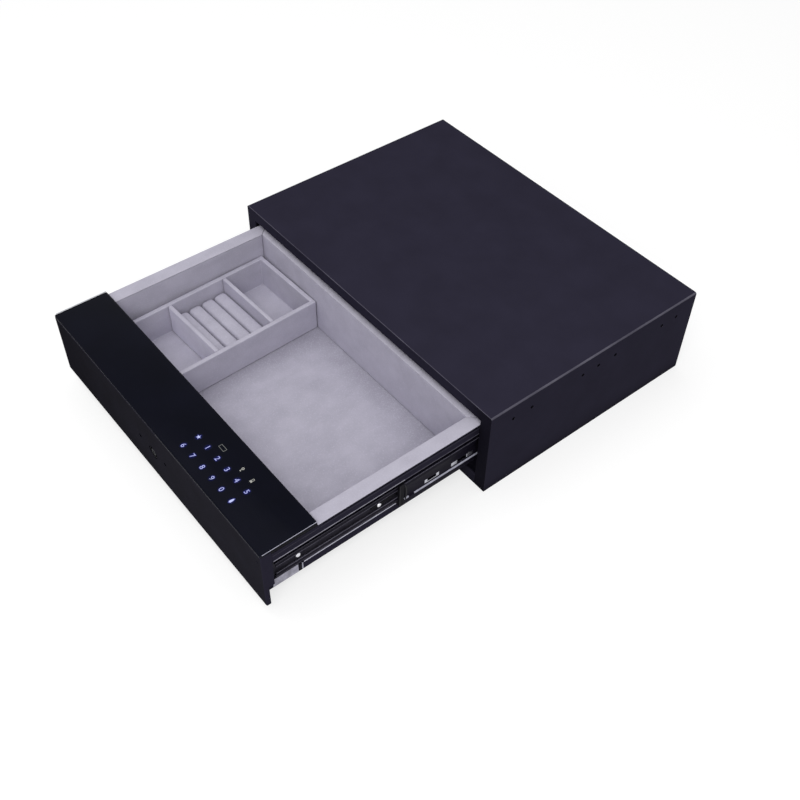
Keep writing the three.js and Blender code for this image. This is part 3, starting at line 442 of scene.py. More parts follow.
# Nodes that don't take their slot's usual finish.
MATERIAL_OF = {
    "lining_floor": FLOOR_FELT,
    # The contact studs are black: painted shade in their holes.
    "contact_stud_left": PAINTED_SHADE_BLACK,
    "contact_stud_right": PAINTED_SHADE_BLACK,
    "key_plug": COLLAR_GREY,
}


# Pieces

# Edges that turn by more than these degrees are rounded and stay sharp in shading.
EDGE_TURN = 32
SAME_SPOT = 2e-6
FLAT_TURN = math.radians(0.6)
# Where the grid of a soft block's rounded margin lies, in shares of its radius.
MARGIN_STEPS = (0, 0.12, 0.38, 0.69)


def placed(piece, body, slot, material=None, replaced=()):
    """Puts a finished piece on its body, with the material given or its slot's usual one.
    """
    piece.data.materials.clear()
    piece.data.materials.append(material or MATERIALS[slot])
    if replaced:
        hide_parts(*replaced)
    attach(piece, body)
    return piece


def outward(mesh):
    """Turns a mesh's faces to its outside, and gives it back."""
    bmesh.ops.recalc_face_normals(mesh, faces=mesh.faces)
    closed = all(edge.is_manifold for edge in mesh.edges)
    if closed and mesh.calc_volume(signed=True) < 0:
        bmesh.ops.reverse_faces(mesh, faces=mesh.faces)
    return mesh


def object_from(mesh, name, crease=35):
    """A new object from a bmesh, smooth except across edges over crease degrees."""
    return object_as_wound(outward(mesh), name, crease)


def object_as_wound(mesh, name, crease=35):
    """The same, with the faces left as they are."""
    data = bpy.data.meshes.new(name)
    for face in mesh.faces:
        face.smooth = True
    mesh.to_mesh(data)
    mesh.free()
    data.set_sharp_from_angle(angle=math.radians(crease))
    piece = bpy.data.objects.new(name, data)
    SCENE.collection.objects.link(piece)
    return piece


def welded(node):
    """A CAD node's surface with its split corners joined and flat faces whole."""
    mesh = bmesh.new()
    mesh.from_mesh(frame["nodes"][node].data)
    bmesh.ops.remove_doubles(mesh, verts=mesh.verts, dist=SAME_SPOT)
    bmesh.ops.dissolve_limit(
        mesh, angle_limit=FLAT_TURN, verts=mesh.verts, edges=mesh.edges
    )
    return mesh


def round_corners(mesh, radius, on_edge):
    """Rounds the edges whose two ends both pass on_edge."""
    chosen = [edge for edge in mesh.edges if all(on_edge(end.co) for end in edge.verts)]
    bmesh.ops.bevel(
        mesh, geom=chosen, offset=radius, segments=4, profile=0.5, affect="EDGES"
    )


def round_edges(piece, width, segments):
    """Rounds every sharp edge of a piece by a modifier."""
    rounding = piece.modifiers.new("rounding", "BEVEL")
    rounding.width = width
    rounding.segments = segments
    rounding.limit_method = "ANGLE"
    rounding.angle_limit = math.radians(EDGE_TURN)
    rounding.harden_normals = True


def second_finish(piece, material, chosen):
    """Gives a further material to the faces whose normal passes chosen."""
    piece.data.materials.append(material)
    index = len(piece.data.materials) - 1
    for face in piece.data.polygons:
        if chosen(face.normal):
            face.material_index = index


def faces_front(normal):
    return normal.y < -0.9


def close(first, second):
    return abs(first - second) < 0.01 * MM


def finished(node, width):
    """A copy of a CAD node with rounded edges, which takes the node's place."""
    mesh = welded(node)
    if node in CORNERS:
        round_corners(mesh, *CORNERS[node])
    piece = object_from(mesh, node + "_finish", EDGE_TURN)
    round_edges(piece, width, 2)
    return placed(piece, BODY_OF[node], SLOT_OF[node], MATERIAL_OF.get(node), [node])


def grid_steps(low, high, radius, cell):
    """Places along one side of a soft block, close together at its ends."""
    flat = high - low - 2 * radius
    count = max(1, round(flat / cell))
    middle = [low + radius + i * flat / count for i in range(count + 1)]
    start = [low + radius * share for share in MARGIN_STEPS]
    stop = [high - radius * share for share in reversed(MARGIN_STEPS)]
    return start + middle + stop


def soft_block(low, high, radius, cell):
    """The surface of a block with round edges, in a fine grid, as a bmesh."""
    mesh = bmesh.new()
    places = [grid_steps(low[i], high[i], radius, cell) for i in range(3)]
    for axis in range(3):
        first, second = [i for i in range(3) if i != axis]
        for side in (low[axis], high[axis]):
            grid = []
            for u in places[first]:
                row = []
                for v in places[second]:
                    spot = [0, 0, 0]
                    spot[axis], spot[first], spot[second] = side, u, v
                    row.append(mesh.verts.new(spot))
                grid.append(row)
            for here, there in zip(grid, grid[1:]):
                for j in range(len(here) - 1):
                    mesh.faces.new((here[j], there[j], there[j + 1], here[j + 1]))
    bmesh.ops.remove_doubles(mesh, verts=mesh.verts, dist=1e-7)
    for vertex in mesh.verts:
        core = Vector(
            min(max(vertex.co[i], low[i] + radius), high[i] - radius) for i in range(3)
        )
        away = vertex.co - core
        if away.length > 0:
            vertex.co = core + away.normalized() * radius
    return mesh


def waved(mesh, depth, size, seed):
    """Moves a surface inwards a little, by up to depth, in soft waves size across."""
    bmesh.ops.recalc_face_normals(mesh, faces=mesh.faces)
    mesh.normal_update()
    offset = Vector((seed * 3.1, seed * 1.7, seed * 2.3))
    for vertex in mesh.verts:
        wave = noise.noise(vertex.co / size + offset) * 0.5 + 0.5
        vertex.co -= vertex.normal * depth * wave


def turned(name, profile, centre, axis):
    """A turned piece: profile is (distance along the axis, radius), end to end."""
    steps = 48
    mesh = bmesh.new()
    turn = Vector((0, 0, 1)).rotation_difference(Vector(axis)).to_matrix()
    rings = []
    for along, radius in profile:
        if radius == 0:
            spot = turn @ Vector((0, 0, along)) + Vector(centre)
            rings.append([mesh.verts.new(spot)] * steps)
            continue
        ring = []
        for i in range(steps):
            angle = 2 * math.pi * i / steps
            spot = Vector((radius * math.cos(angle), radius * math.sin(angle), along))
            ring.append(mesh.verts.new(turn @ spot + Vector(centre)))
        rings.append(ring)
    for below, above in zip(rings, rings[1:]):
        for i in range(steps):
            j = (i + 1) % steps
            corners = []
            for corner in (below[i], below[j], above[j], above[i]):
                if corner not in corners:
                    corners.append(corner)
            mesh.faces.new(corners)
    return object_from(mesh, name, 30)


def in_metres(profile):
    """A turned piece's profile in millimetres, turned into metres."""
    return [(along * MM, radius * MM) for along, radius in profile]


def thickened(mesh, faces, move):
    """Draws flat faces out by move, which closes them into a solid."""
    raised = bmesh.ops.extrude_face_region(mesh, geom=faces)
    moved = [item for item in raised["geom"] if isinstance(item, bmesh.types.BMVert)]
    bmesh.ops.translate(mesh, verts=moved, vec=move)


def shown_mesh(item):
    """The mesh that an object shows, with its modifiers applied."""
    bpy.context.view_layer.update()
    graph = bpy.context.evaluated_depsgraph_get()
    return bpy.data.meshes.new_from_object(item.evaluated_get(graph))


# Rigid CAD nodes

# How far a node's edges are rounded, in millimetres.
ROUNDINGS = {
    "housing_shell": 0.4,
    "housing_base": 0.5,
    "housing_back": 0.5,
    "fascia": 0.7,
    "touch_panel": 0.6,
    "drawer_pan": 0.35,
    "drawer_floor": 0.35,
    "panel_frame": 0.3,
    "battery_cover": 0.5,
    "bolt_bar": 0.4,
    "rear_buffer_left": 1.0,
    "rear_buffer_right": 1.0,
    "middle_bumper_left": 0.5,
    "middle_bumper_right": 0.5,
}
USUAL_ROUNDING = 0.25
TURNED_NODES = (
    "key_cylinder",
    "slide_screw_front_left",
    "slide_screw_front_right",
    "slide_screw_rear_left",
    "slide_screw_rear_right",
)
LININGS = ("lining_floor", "lining_left", "lining_right", "lining_front", "lining_rear")
TRAY_NODES = ("tray_box", "tray_divider_front", "tray_divider_rear")
SOFT_NODES = (*LININGS, *TRAY_NODES, "rim_lining", "ring_pad")

SHELL_LOW, SHELL_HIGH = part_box("housing_shell")
PANEL_LOW, PANEL_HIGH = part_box("touch_panel")
# Edges that are rounder than the rest: the radius, and which corners they join.
CORNERS = {
    "housing_shell": (
        0.9 * MM,
        lambda spot: close(spot.y, SHELL_LOW.y) and close(spot.z, SHELL_HIGH.z),
    ),
    "touch_panel": (
        2.2 * MM,
        lambda spot: close(abs(spot.x), PANEL_HIGH.x),
    ),
    "fascia": (
        1.6 * MM,
        lambda spot: close(abs(spot.x), PANEL_HIGH.x) and close(spot.y, PANEL_LOW.y),
    ),
}

for node in frame["nodes"]:
    if node in SOFT_NODES or node in TURNED_NODES:
        continue
    piece = finished(node, ROUNDINGS.get(node, USUAL_ROUNDING) * MM)
    # The shell's rounded top edges take a painted highlight, its front lips painted shade.
    if node == "housing_shell":
        second_finish(piece, HIGHLIGHT_COAT, lambda normal: 0.3 < normal.z < 0.96)
        second_finish(piece, LIP_SHADE_COAT, faces_front)
    # The fascia's front faces take the painted shade.
    if node == "fascia":
        second_finish(piece, FRONT_SHADE_COAT, faces_front)
    # Painted light: the drawer members' webs a lighter grey where their lips shade them.
    if node.startswith("drawer_member"):
        second_finish(piece, WEB_PAINTED_LIGHT, lambda normal: abs(normal.x) > 0.9)


# Felt and foam

# The creases of a soft piece show as sharp only over these degrees.
SOFT_TURN = 60


def lining(node, seed):
    """A felt sheet in place of a lining's solid, held to the steel behind it."""
    low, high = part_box(node)
    thin, narrow, wide = sorted(high[i] - low[i] for i in range(3))
    mesh = soft_block(low, high, min(0.5 * MM, thin * 0.45), 7 * MM)
    waved(mesh, min(0.35 * MM, thin * 0.2), 26 * MM, seed)
    piece = object_from(mesh, node + "_felt", SOFT_TURN)
    placed(piece, "drawer", "grey_felt", MATERIAL_OF.get(node), [node])


for seed, node in enumerate(LININGS, 1):
    lining(node, seed)


def rim_strip(name, low, high, ends, seed):
    """One arm of the rim's felt. ends has each end's place on the low and high side.

    Where the two places differ, that end is mitred.
    """
    mesh = soft_block(low, high, 0.7 * MM, 5 * MM)
    along = 1 if high[1] - low[1] > high[0] - low[0] else 0
    across = 1 - along
    length = high[along] - low[along]
    breadth = high[across] - low[across]
    middle = (low[2] + high[2]) / 2
    for vertex in mesh.verts:
        side = (vertex.co[across] - low[across]) / breadth
        place = (vertex.co[along] - low[along]) / length
        first, last = (near + (far - near) * side for near, far in ends)
        vertex.co[along] = first + (last - first) * place
        if vertex.co.z > middle:
            vertex.co.z -= 0.25 * MM * (2 * side - 1) ** 4
    waved(mesh, 0.12 * MM, 18 * MM, seed)
    piece = object_from(mesh, name, SOFT_TURN)
    placed(piece, "drawer", "grey_felt", replaced=["rim_lining"])


RIM_LOW, RIM_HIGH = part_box("rim_lining")
RIM_INSIDE = 203.7 * MM
RIM_BACK = -171.5 * MM
SEAM = 0.18 * MM
for side, sign in SIDES.items():
    inner = sign * RIM_INSIDE
    outer = RIM_LOW.x if sign < 0 else RIM_HIGH.x
    low = Vector((min(inner, outer), RIM_LOW.y, RIM_LOW.z))
    high = Vector((max(inner, outer), RIM_HIGH.y, RIM_HIGH.z))
    rear = (RIM_BACK - SEAM, RIM_HIGH.y - SEAM)
    rear = rear if sign > 0 else rear[::-1]
    rim_strip(f"rim_{side}_felt", low, high, ((RIM_LOW.y, RIM_LOW.y), rear), 3 + sign)
rim_strip(
    "rim_rear_felt",
    Vector((RIM_LOW.x, RIM_BACK, RIM_LOW.z)),
    RIM_HIGH,
    ((-RIM_INSIDE + SEAM, RIM_LOW.x + SEAM), (RIM_INSIDE - SEAM, RIM_HIGH.x - SEAM)),
    7,
)


# The felt tray and its dividers, wrapped board with rounded edges.
for node in TRAY_NODES:
    wrapped = object_from(welded(node), node + "_felt", EDGE_TURN)
    round_edges(wrapped, 1.3 * MM, 4)
    placed(wrapped, "tray", "grey_felt", replaced=[node])
    if node == "tray_divider_front":
        # The front divider's front faces paler: painted light.
        second_finish(wrapped, PAINTED_LIGHT_FELT, faces_front)

# The ring pad: rolls on a foam base, in the tray's own turned frame.
TRAY_TURN = math.radians(2)
TRAY_CENTRE = Vector((-140.1 * MM, -279.95 * MM, 0))
PAD_LOW = 26.5 * MM
PAD_BASE = 4 * MM
PAD_HALF = 38.4 * MM
ROLL_TOP = 51.2 * MM
ROLL_PITCH = 19.375 * MM
ROLL_BREADTH = 19.1 * MM
ROLL_HALF = 51.5 * MM
ROLLS = 4


def in_tray(mesh):
    """Turns a mesh made about the tray's middle into its place."""
    move = Matrix.Translation(TRAY_CENTRE) @ Matrix.Rotation(TRAY_TURN, 4, "Z")
    bmesh.ops.transform(mesh, matrix=move, verts=mesh.verts)


def roll_mesh(middle, seed):
    """A padded ring roll across the tray: a crowned loaf with soft, pinched ends."""
    stations, sides = 44, 36
    mesh = bmesh.new()
    bottom = PAD_LOW + PAD_BASE * 0.4
    height = ROLL_TOP - bottom
    rings = []
    for i in range(stations + 1):
        # Stations lie closer together towards the ends, where the roll narrows.
        along = -math.cos(math.pi * i / stations)
        place = ROLL_HALF * (0.25 * along + 0.75 * (2 * i / stations - 1))
        end = max(0.0, 1 - abs(place / ROLL_HALF) ** 26) ** 0.42
        pinch = 0.45 + 0.55 * end
        swell = 1 - 0.03 * (place / ROLL_HALF) ** 2
        ring = []
        for j in range(sides):
            # The section is a superellipse: nearly flat sides and a crowned top.
            angle = 2 * math.pi * j / sides
            out = math.cos(angle)
            up = math.sin(angle)
            wide = math.copysign(abs(out) ** 0.42, out) * ROLL_BREADTH / 2 * pinch
            tall = math.copysign(abs(up) ** 0.66, up) * height / 2 * (pinch * swell)
            spot = (place, middle + wide, bottom + height / 2 + tall)
            ring.append(mesh.verts.new(spot))
        rings.append(ring)
    for below, above in zip(rings, rings[1:]):
        for j in range(sides):
            k = (j + 1) % sides
            mesh.faces.new((below[j], below[k], above[k], above[j]))
    mesh.faces.new(rings[0])
    mesh.faces.new(rings[-1])
    waved(mesh, 0.35 * MM, 9 * MM, seed)
    in_tray(mesh)
    return mesh


for index in range(ROLLS):
    middle = (index - (ROLLS - 1) / 2) * ROLL_PITCH
    mesh = roll_mesh(middle, 11 + index)
    roll = object_from(mesh, f"ring_roll_{index + 1}", SOFT_TURN)
    placed(roll, "ring_pad", "grey_felt", replaced=["ring_pad"])

base_mesh = soft_block(
    Vector((-ROLL_HALF, -PAD_HALF, PAD_LOW)),
    Vector((ROLL_HALF, PAD_HALF, PAD_LOW + PAD_BASE)),
    1 * MM,
    6 * MM,
)
waved(base_mesh, 0.2 * MM, 14 * MM, 21)
in_tray(base_mesh)
pad_base = object_from(base_mesh, "ring_pad_base", SOFT_TURN)
placed(pad_base, "ring_pad", "grey_felt", replaced=["ring_pad"])


# Keypad

PANEL_TOP = PANEL_HIGH.z
PANEL_FRONT = PANEL_LOW.y
# The keys' columns in X and rows behind the panel's front edge, in millimetres.
COLUMNS = (51.0, 69.7, 89.3, 108.2, 126.9, 146.0)
ROW_FRONT, ROW_MIDDLE, ROW_BACK = 16.0, 34.9, 47.0
FRONT_SIGNS = "67890"
MIDDLE_SIGNS = "12345"
SIGN_HEIGHT = 6.2 * MM
# A font's size over the height of its digits.
FONT_SHARE = 1.42
MARK_LIFT = PANEL_TOP + 0.04 * MM
PRINT_THICK = 0.02 * MM


def at(column, distance):
    """A place on the panel: X from the middle, distance behind the front edge."""
    return (column * MM, PANEL_FRONT + distance * MM)


def joined(meshes, name):
    """One object from several bmeshes."""
    whole = bmesh.new()
    for mesh in meshes:
        data = bpy.data.meshes.new(name + "_part")
        outward(mesh).to_mesh(data)
        mesh.free()
        whole.from_mesh(data)
        bpy.data.meshes.remove(data)
    return object_as_wound(whole, name)


def letter_mesh(sign, weight, place, lift):
    """A digit as a thin raised print, its top to the back."""
    curve = bpy.data.curves.new("sign", "FONT")
    curve.body = sign
    curve.size = SIGN_HEIGHT * FONT_SHARE
    curve.align_x = "CENTER"
    curve.offset = weight
    curve.extrude = PRINT_THICK / 2
    curve.resolution_u = 4
    item = bpy.data.objects.new("sign", curve)
    SCENE.collection.objects.link(item)
    data = shown_mesh(item)
    mesh = bmesh.new()
    mesh.from_mesh(data)
    bmesh.ops.remove_doubles(mesh, verts=mesh.verts, dist=1e-7)
    bpy.data.objects.remove(item)
    bpy.data.curves.remove(curve)
    bpy.data.meshes.remove(data)
    foot = (place[0], place[1] - SIGN_HEIGHT / 2, lift)
    bmesh.ops.translate(mesh, verts=mesh.verts, vec=foot)
    return mesh


def circle_points(radius, count=20, stretch=(1, 1)):
    points = []
    for i in range(count):
        turn = 2 * math.pi * i / count
        x, y = radius * math.cos(turn), radius * math.sin(turn)
        points.append((x * stretch[0], y * stretch[1]))
    return points


def star_points(outer, inner, count=5):
    points = []
    for i in range(2 * count):
        radius = outer if i % 2 == 0 else inner
        angle = math.pi / 2 + math.pi * i / count
        points.append((radius * math.cos(angle), radius * math.sin(angle)))
    return points


def box_points(wide, tall):
    x, y = wide / 2, tall / 2
    return [(-x, -y), (x, -y), (x, y), (-x, y)]


def bell_points(size):
    """A slim bell: a pointed crown that flares to a lip."""
    crown = [(0, 1), (0.18, 0.76), (0.3, 0.42), (0.36, 0.05)]
    lip = [(0.37, -0.35), (0.34, -0.62), (0.14, -0.74), (0, -0.95)]
    right = [(x * size, y * size) for x, y in crown + lip]
    left = [(-x, y) for x, y in reversed(right[1:-1])]
    return right + left


def outline_mesh(points, place, lift, thick=PRINT_THICK):
    """A flat raised print from an outline's points."""
    mesh = bmesh.new()
    corners = [mesh.verts.new((place[0] + x, place[1] + y, lift)) for x, y in points]
    thickened(mesh, [mesh.faces.new(corners)], (0, 0, thick))
    return mesh


def band_mesh(points, inner, place, lift):
    """A flat raised band between an outline and a smaller copy of it."""
    mesh = bmesh.new()
    loops = []
    for wide, tall in ((1, 1), inner):
        spots = [(place[0] + x * wide, place[1] + y * tall, lift) for x, y in points]
        loops.append([mesh.verts.new(spot) for spot in spots])
    outside, within = loops
    faces = []
    for i in range(len(points)):
        j = (i + 1) % len(points)
        faces.append(mesh.faces.new((outside[i], outside[j], within[j], within[i])))
    thickened(mesh, faces, (0, 0, PRINT_THICK))
    return mesh


def keypad(name, weight, lift, material):
    """The digits, the star and the bell, weight bolder than their plain outlines."""
    rows = ((COLUMNS, ROW_FRONT, FRONT_SIGNS), (COLUMNS[1:], ROW_MIDDLE, MIDDLE_SIGNS))
    parts = []
    for columns, row, signs in rows:
        for column, sign in zip(columns, signs):
            parts.append(letter_mesh(sign, weight, at(column, row), lift))
    star = star_points(3 * MM + 2 * weight, 1.3 * MM + weight)
    bell = bell_points(3.9 * MM + 2 * weight)
    parts.append(outline_mesh(star, at(COLUMNS[0], ROW_MIDDLE), lift))
    parts.append(outline_mesh(bell, at(COLUMNS[-1], ROW_FRONT), lift))
    placed(joined(parts, name), "drawer", "black_glass", material)


def halo(name, place):
    """A lamp's glow under the lacquer round one key."""
    outline = circle_points(5.2 * MM, 40, (0.9, 1.1))
    mesh = outline_mesh(outline, place, PANEL_TOP + 0.008 * MM, 0.012 * MM)
    placed(object_from(mesh, name), "drawer", "black_glass", KEY_HALO)


keypad("keypad_signs", -0.12 * MM, MARK_LIFT + 0.04 * MM, LIT_KEYS)
keypad("keypad_glow", 0.55 * MM, MARK_LIFT, KEY_GLOW)
for index, column in enumerate(COLUMNS, 1):
    halo(f"key_halo_front_{index}", at(column, ROW_FRONT))
    halo(f"key_halo_middle_{index}", at(column, ROW_MIDDLE))

# The frame symbol behind the digits.
border = box_points(10.2 * MM, 5 * MM)
border = band_mesh(border, (0.87, 0.74), at(80.3, ROW_BACK), MARK_LIFT)
border = object_from(border, "keypad_frame_mark")
placed(border, "drawer", "black_glass", MARK_GREY)

# The key symbol and the padlock symbol.
KEY_COLUMN, LOCK_COLUMN = 117.8, 137.2
bit = [(-0.4, 0.3), (-0.4, -2.9), (1.4, -2.9), (1.4, -2.0), (0.4, -2.0), (0.4, 0.3)]
bit = [(x * MM, y * MM) for x, y in bit]
bow = circle_points(1.7 * MM)
case = box_points(3.3 * MM, 2 * MM)
shackle = circle_points(1.5 * MM, stretch=(1, 1.3))
marks = [
    band_mesh(bow, (0.45, 0.45), at(KEY_COLUMN, ROW_BACK + 1.5), MARK_LIFT),
    outline_mesh(bit, at(KEY_COLUMN, ROW_BACK), MARK_LIFT),
    outline_mesh(case, at(LOCK_COLUMN, ROW_BACK - 1.6), MARK_LIFT),
    band_mesh(shackle, (0.6, 0.66), at(LOCK_COLUMN, ROW_BACK + 1.2), MARK_LIFT),
]
placed(joined(marks, "keypad_status_marks"), "drawer", "black_glass", MARK_WHITE)


# Small parts and trim


def strip(name, low, high, body, slot, material=None):
    """A slim rounded strip between two corners, given in millimetres."""
    low, high = Vector(low) * MM, Vector(high) * MM
    thin = min(high[i] - low[i] for i in range(3))
    mesh = soft_block(low, high, thin * 0.4, 40 * MM)
    placed(object_from(mesh, name, 50), body, slot, material)


def trim(name, side, low, high, body, slot, material=None):
    """A strip given for the safe's right, or its mirror image on the left."""
    if side == "left":
        low, high = (-high[0], *low[1:]), (-low[0], *high[1:])
    strip(f"{name}_{side}", low, high, body, slot, material)


# Places here are in millimetres, given for the right side.
MIDDLE_LOW, MIDDLE_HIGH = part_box("middle_member_right")
MIDDLE_FRONT = MIDDLE_LOW.y / MM
SLIDE_Z = (MIDDLE_LOW.z + MIDDLE_HIGH.z) / 2 / MM
RACE_REAR = MIDDLE_FRONT + 289
MEMBER_LOW, MEMBER_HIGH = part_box("drawer_member_right")
MEMBER_FRONT, MEMBER_REAR = MEMBER_LOW.y / MM, MEMBER_HIGH.y / MM
MEMBER_EDGE = MEMBER_HIGH.x / MM
MEMBER_HALF = (MEMBER_HIGH.z - MEMBER_LOW.z) / 2 / MM
WEB_HALF = 6.1
# Painted lines along the pan: highlights on the turned down hem, the bead over it
# and the floor's flange, dimmer on the hem's rear part, and a painted shadow under the
# rim.
PAN_LINES = (
    ("rim_hem_edge", (221.9, -444, 86.1), (222.3, -274, 87.5), HEM_HIGHLIGHT),
    ("rim_hem_rear", (221.9, -273.8, 86.1), (222.25, -151.6, 87.4), HEM_SHADED_HIGHLIGHT),
    ("rim_bead_line", (221.85, -444, 95.3), (222.2, -151.6, 96.2), BEAD_HIGHLIGHT),
    ("rim_under_line", (221.85, -383, 98.3), (222.2, -151.6, 99.2), PAINTED_SHADE_BLACK),
    ("floor_flange_highlight", (207.8, -401, 32.7), (209.95, -166.5, 34.15), FLANGE_HIGHLIGHT),
)
# The bright stops of the middle member's slots, and painted shade in their bottoms, from
# its front.
SLOT_LOW, SLOT_HIGH = SLIDE_Z - 7.3, SLIDE_Z - 1.9
SLOT_STOPS = ((30.5, 34.5), (47.5, 51.5), (69.5, 78.5), (92.5, 101.5))
SLOT_SHADES = ((30.6, 51.4), (69.6, 101.4))

for side in SIDES:
    middle = "middle_" + side
    # A painted highlight along each side edge of the touch panel.
    low, high = (221.6, -456, 107.1), (222.2, -388.8, 107.68)
    trim("panel_edge_highlight", side, low, high, "drawer", "black_glass", PAINTED_HIGHLIGHT)
    for name, low, high, material in PAN_LINES:
        trim(name, side, low, high, "drawer", "black_paint", material)
    for index, (start, stop) in enumerate(SLOT_STOPS, 1):
        low = (215.1, MIDDLE_FRONT + start, SLOT_LOW)
        high = (216.4, MIDDLE_FRONT + stop, SLOT_HIGH)
        trim(f"slot_stop_{index}", side, low, high, middle, "zinc_steel")
    low = (215.3, MIDDLE_FRONT + SLOT_STOPS[0][0], SLOT_LOW)
    high = (216.35, MIDDLE_FRONT + SLOT_STOPS[1][1], SLOT_LOW + 0.8)
    trim("slot_stop_foot", side, low, high, middle, "zinc_steel")
    for index, (start, stop) in enumerate(SLOT_SHADES, 1):
        low = (215.02, MIDDLE_FRONT + start, SLOT_LOW)
        high = (215.32, MIDDLE_FRONT + stop, SLOT_HIGH)
        trim(f"slot_shade_{index}", side, low, high, middle, "black_plastic", PAINTED_SHADE_BLACK)
    # The drawer member's edges turn in again, as the lips of a C section do.
    for row, way in (("low", -1), ("high", 1)):
        line = SLIDE_Z + way * WEB_HALF
        bottom, top = sorted((line, SLIDE_Z + way * (MEMBER_HALF - 0.9)))
        low = (MEMBER_EDGE - 1.2, MEMBER_FRONT + 0.5, bottom)
        high = (MEMBER_EDGE - 0.1, MEMBER_REAR - 0.5, top)
        trim("member_lip_" + row, side, low, high, "drawer", "black_steel")
        # Painted highlights along the member's edges.
        low = (MEMBER_EDGE - 0.9, MEMBER_FRONT + 1, line - 0.35)
        high = (MEMBER_EDGE + 0.05, MEMBER_REAR - 1, line + 0.45)
        trim("member_line_" + row, side, low, high, "drawer", "black_steel", RACE_HIGHLIGHT)
    # A painted highlight along the middle member's top edge.
    low = (217.4, MIDDLE_FRONT + 1, SLIDE_Z + 16.9)
    high = (217.9, RACE_REAR, SLIDE_Z + 17.7)
    trim("race_top_highlight", side, low, high, middle, "black_steel", RACE_HIGHLIGHT)


def race_line(name, body, start, stop, sign):
    """A painted highlight: a bright strip on the rolled edge along the lower race's
    sloping shoulder.
    """
    # Its section: X, and height from the slide's middle.
    section = [(217.72, -11.35), (216.35, -10), (216.2, -10.15), (217.55, -11.5)]
    mesh = bmesh.new()
    for place in (start, stop):
        spots = [(sign * x * MM, place * MM, (SLIDE_Z + z) * MM) for x, z in section]
        mesh.faces.new([mesh.verts.new(spot) for spot in spots])
    mesh.verts.ensure_lookup_table()
    for i in range(4):
        j = (i + 1) % 4
        mesh.faces.new([mesh.verts[k] for k in (i, j, j + 4, i + 4)])
    placed(object_from(mesh, name), body, "black_steel", PAINTED_HIGHLIGHT)


def crescent(name, body, sign):
    """The raised arc on the outside of a bumper's collar."""
    front, tall = MIDDLE_FRONT - 1.6, 16.6
    turns = [math.pi * (i / 24 - 0.5) for i in range(25)]
    outer, inner = (
        [(front + bulge * math.cos(t), SLIDE_Z + tall * math.sin(t)) for t in turns]
        for bulge in (5.4, 3.7)
    )
    outline = outer + inner[1:-1][::-1]
    mesh = bmesh.new()
    corners = [mesh.verts.new((sign * 217.3 * MM, y * MM, z * MM)) for y, z in outline]
    thickened(mesh, [mesh.faces.new(corners)], (sign * 0.55 * MM, 0, 0))
    bmesh.ops.triangulate(mesh, faces=[face for face in mesh.faces if len(face.verts) > 4])
    placed(object_from(mesh, name), body, "black_plastic", COLLAR_GREY)


for side, sign in SIDES.items():
    body = "middle_" + side
    race_line("race_shoulder_highlight_" + side, body, MIDDLE_FRONT + 15, RACE_REAR, sign)
    race_line("race_dash_highlight_" + side, body, MIDDLE_FRONT + 0.5, MIDDLE_FRONT + 7, sign)
    crescent("bumper_crescent_" + side, body, sign)
    low = (217.45, MIDDLE_FRONT - 6.6, SLIDE_Z - 17.2)
    high = (217.85, MIDDLE_FRONT - 5.6, SLIDE_Z + 17.2)
    trim("bumper_line", side, low, high, body, "black_plastic", COLLAR_GREY)

# Painted shade: black discs in the row of holes down each side, placed in shares of its
# depth.
SIDE_HOLES = (0.103, 0.187, 0.428, 0.505, 0.589, 0.83, 0.907)
HOLE_X, HOLE_Z = 239.45 * MM, 104.5 * MM
HOLE_SHADE_RADIUS, HOLE_SHADE_DEPTH = 2.28 * MM, 0.9 * MM
for side, sign in SIDES.items():
    mesh = bmesh.new()
    for share in SIDE_HOLES:
        along = SHELL_LOW.y + share * (SHELL_HIGH.y - SHELL_LOW.y)
        spot = Matrix.Translation((sign * HOLE_X, along, HOLE_Z))
        bmesh.ops.create_cone(
            mesh,
            cap_ends=True,
            segments=24,
            radius1=HOLE_SHADE_RADIUS,
            radius2=HOLE_SHADE_RADIUS,
            depth=HOLE_SHADE_DEPTH,
            matrix=spot @ Matrix.Rotation(math.pi / 2, 4, "Y"),
        )
    hole_shades = object_from(mesh, "side_hole_shade_" + side)
    placed(hole_shades, "housing", "black_plastic", PAINTED_SHADE_BLACK)


def cut_with(piece, cutter):
    """Cuts one new piece with another, which then goes."""
    cut = piece.modifiers.new("cut", "BOOLEAN")
    cut.operation = "DIFFERENCE"
    cut.solver = "EXACT"
    cut.object = cutter
    data = shown_mesh(piece)
    piece.modifiers.remove(cut)
    piece.data = data
    bpy.data.objects.remove(cutter)


def cross(centre, reach, width, depth):
    """The cutter for a cross recess in a head that faces sideways."""
    a, b = reach / 2, width / 2
    quarter = [(b, a), (b, b), (a, b)]
    loop = []
    for _ in range(4):
        loop += quarter
        quarter = [(z, -y) for y, z in quarter]
    mesh = bmesh.new()
    spots = [(centre[0] - depth, centre[1] + y, centre[2] + z) for y, z in loop]
    corners = [mesh.verts.new(spot) for spot in spots]
    thickened(mesh, [mesh.faces.new(corners)], (2 * depth, 0, 0))
    return object_from(mesh, "cross_cutter")


